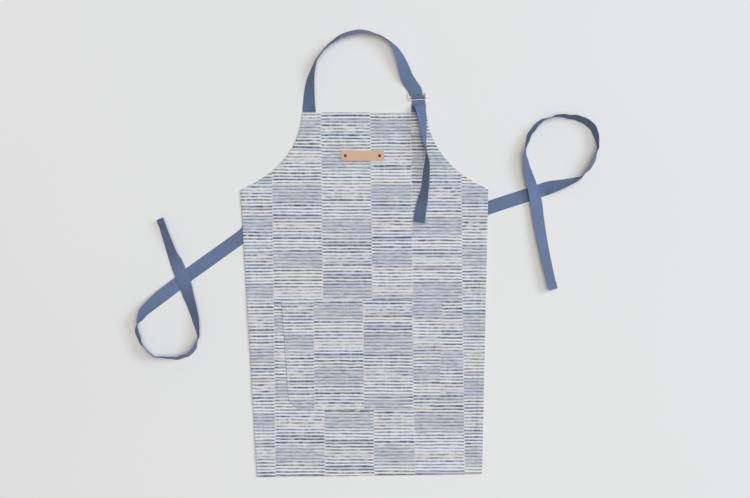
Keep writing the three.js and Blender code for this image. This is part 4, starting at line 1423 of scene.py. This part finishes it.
class APRON_OT_label(bpy.types.Operator):
    """Make the leather label and the rivets that hold it"""

    bl_idname = "apron.label"
    bl_label = "Label and rivets"

    def execute(self, context):
        low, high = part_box("leather_label")
        outline = np.array(rounded((low.x, low.y), (high.x, high.y), 1.6 * MM, 5))
        middle = np.array([(low.x + high.x) / 2, (low.y + high.y) / 2])
        thick, half_length = high.z - low.z, 48 * MM
        base = float(panel_top(np.array(middle[0]), np.array(middle[1]))) + 0.1 * MM
        profile = [(-0.0003, 0.0), (0.0, 0.25), (0.0, 0.8), (-0.00035, 1.0), (-0.0009, 1.02),
                   (-0.0030, 1.0)]
        rings = []
        outward = (outline - middle) / np.abs(outline - middle).max(1, keepdims=True)
        for inset, rise in profile:
            ring = outline + outward * inset
            curl = 0.5 * MM * ((ring[:, 0] - middle[0]) / half_length) ** 4
            rings.append(np.column_stack([ring, base + thick * rise + curl]))
        count = len(outline)
        verts = list(np.vstack(rings))
        faces = [(r * count + i, r * count + (i + 1) % count, (r + 1) * count + (i + 1) % count,
                  (r + 1) * count + i) for r in range(len(rings) - 1) for i in range(count)]
        top = (len(rings) - 1) * count
        faces.append(tuple(range(top, top + count)))
        faces.append(tuple(range(count - 1, -1, -1)))
        label = new_object("leather_label_piece", verts, faces, finish_of("label_leather"))
        finished(label, "apron", "label_leather", "leather_label")

        for side in ("left", "right"):
            cap_low, cap_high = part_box(f"{side}_rivet")
            x, y = (cap_low.x + cap_high.x) / 2, (cap_low.y + cap_high.y) / 2
            radius = (cap_high.x - cap_low.x) / 2
            sit = base + thick * 1.02
            crown = [(0.0, 1.45), (0.30, 1.42), (0.55, 1.30), (0.72, 1.08), (0.80, 0.86),
                     (0.84, 0.80), (0.90, 0.82), (0.97, 0.72), (1.0, 0.45), (0.98, 0.12),
                     (0.9, 0.0)]
            profile = [(r * radius, sit + z * MM) for r, z in crown]
            profile += [(0.0011, sit), (0.0011, 0.3 * MM), (0.0, 0.3 * MM)]
            cap = lathe(f"{side}_rivet_cap", profile, (x, y), finish_of("rivet_copper"))
            finished(cap, "apron", "rivet_metal", f"{side}_rivet")
            ring = [(0.0014, 0.25), (0.0033, 0.25), (0.0035, 0.45), (0.0035, 0.9), (0.0033, 1.1),
                    (0.0018, 1.15), (0.0014, 1.0), (0.0014, 0.25)]
            washer = lathe(f"{side}_rivet_back", [(r, z * MM) for r, z in ring], (x, y),
                           finish_of("rivet_copper"))
            finished(washer, "apron", "rivet_metal", f"{side}_rivet_washer")
        return {"FINISHED"}


def lathe(name, profile, centre, material, steps=32):
    """A turned piece: a profile of (radius, height) spun about an upright axis."""
    verts, faces = [], []
    angles = np.linspace(0, 2 * math.pi, steps, endpoint=False)
    rings = []
    for radius, z in profile:
        if radius < 1e-6:
            rings.append([len(verts)] * steps)
            verts.append((*centre, z))
        else:
            rings.append(list(range(len(verts), len(verts) + steps)))
            verts += [(centre[0] + radius * math.cos(a), centre[1] + radius * math.sin(a), z)
                      for a in angles]
    for upper, lower in zip(rings[:-1], rings[1:]):
        for i in range(steps):
            n = (i + 1) % steps
            loop = [upper[i], lower[i], lower[n], upper[n]]
            faces.append(tuple(dict.fromkeys(loop)))
    return new_object(name, verts, [f for f in faces if len(f) > 2], material)


class APRON_OT_slide(bpy.types.Operator):
    """Make the three-bar slide"""

    bl_idname = "apron.slide"
    bl_label = "Slide"

    def execute(self, context):
        half_x, half_y, corner, edge = 21 * MM, 8 * MM, 3 * MM, 0.9 * MM
        hole_x, near, far, hole_corner = 18.8 * MM, 1.1 * MM, 5.8 * MM, 1 * MM
        curve = bpy.data.curves.new("slide_outline", "CURVE")
        curve.dimensions, curve.fill_mode = "2D", "BOTH"
        curve.bevel_depth, curve.bevel_resolution = edge, 4
        curve.extrude = (SLIDE_HIGH.z - SLIDE_LOW.z) / 2 - edge
        curve.offset = -edge
        for low, high, radius in (((-half_x, -half_y), (half_x, half_y), corner),
                                  ((-hole_x, -far), (hole_x, -near), hole_corner),
                                  ((-hole_x, near), (hole_x, far), hole_corner)):
            points = rounded(low, high, radius, 6)
            border = curve.splines.new("POLY")
            border.points.add(len(points) - 1)
            for target, (px, py) in zip(border.points, points):
                target.co = (px, py, 0, 1)
            border.use_cyclic_u = True
        drawn = bpy.data.objects.new("slide_outline", curve)
        context.scene.collection.objects.link(drawn)
        context.view_layer.update()
        evaluated = drawn.evaluated_get(context.evaluated_depsgraph_get())
        mesh = bpy.data.meshes.new_from_object(evaluated)
        bpy.data.objects.remove(drawn)
        mesh.materials.clear()
        mesh.materials.append(finish_of("slide_plating"))
        mesh.polygons.foreach_set("use_smooth", np.ones(len(mesh.polygons), bool))
        slide = bpy.data.objects.new("slide_casting", mesh)
        context.scene.collection.objects.link(slide)
        slide.location = SLIDE
        slide.rotation_euler = (0, 0, SLIDE_TURN)
        soft_edges = slide.modifiers.new("soft_edges", "BEVEL")
        soft_edges.width, soft_edges.segments = 0.2 * MM, 2
        finished(slide, "adjuster", "slide_metal", "slide_buckle")
        return {"FINISHED"}


class VIEW3D_PT_apron(bpy.types.Panel):
    """The apron's pieces and settings"""

    bl_label = "Bib apron"
    bl_space_type = "VIEW_3D"
    bl_region_type = "UI"
    bl_category = "Apron"

    def draw(self, context):
        for operator in OPERATORS:
            self.layout.operator(operator.bl_idname)
        for name in GROUPS:
            group, column = getattr(context.scene, name), self.layout.column()
            for key in group.bl_rna.properties.keys():
                if key not in ("rna_type", "name"):
                    column.prop(group, key)


GROUPS = {
    "apron_print": PrintSettings, "apron_webbing": WebbingSettings, "apron_trim": TrimSettings,
    "apron_stage": StageSettings}
OPERATORS = [
    APRON_OT_stage, APRON_OT_finishes, APRON_OT_waist_ties, APRON_OT_neck_strap, APRON_OT_body,
    APRON_OT_pocket, APRON_OT_stitching, APRON_OT_label, APRON_OT_slide]


def register():
    for cls in (*GROUPS.values(), *OPERATORS, VIEW3D_PT_apron):
        bpy.utils.register_class(cls)
    for name, group in GROUPS.items():
        setattr(bpy.types.Scene, name, PointerProperty(type=group))


def unregister():
    for name in GROUPS:
        delattr(bpy.types.Scene, name)
    for cls in (VIEW3D_PT_apron, *reversed(OPERATORS), *GROUPS.values()):
        bpy.utils.unregister_class(cls)


def main():
    """Makes the whole apron: registers the add-on and runs each of its operators."""
    register()
    for operator in OPERATORS:
        group, name = operator.bl_idname.split(".")
        getattr(getattr(bpy.ops, group), name)()


if __name__ == "__main__":
    main()
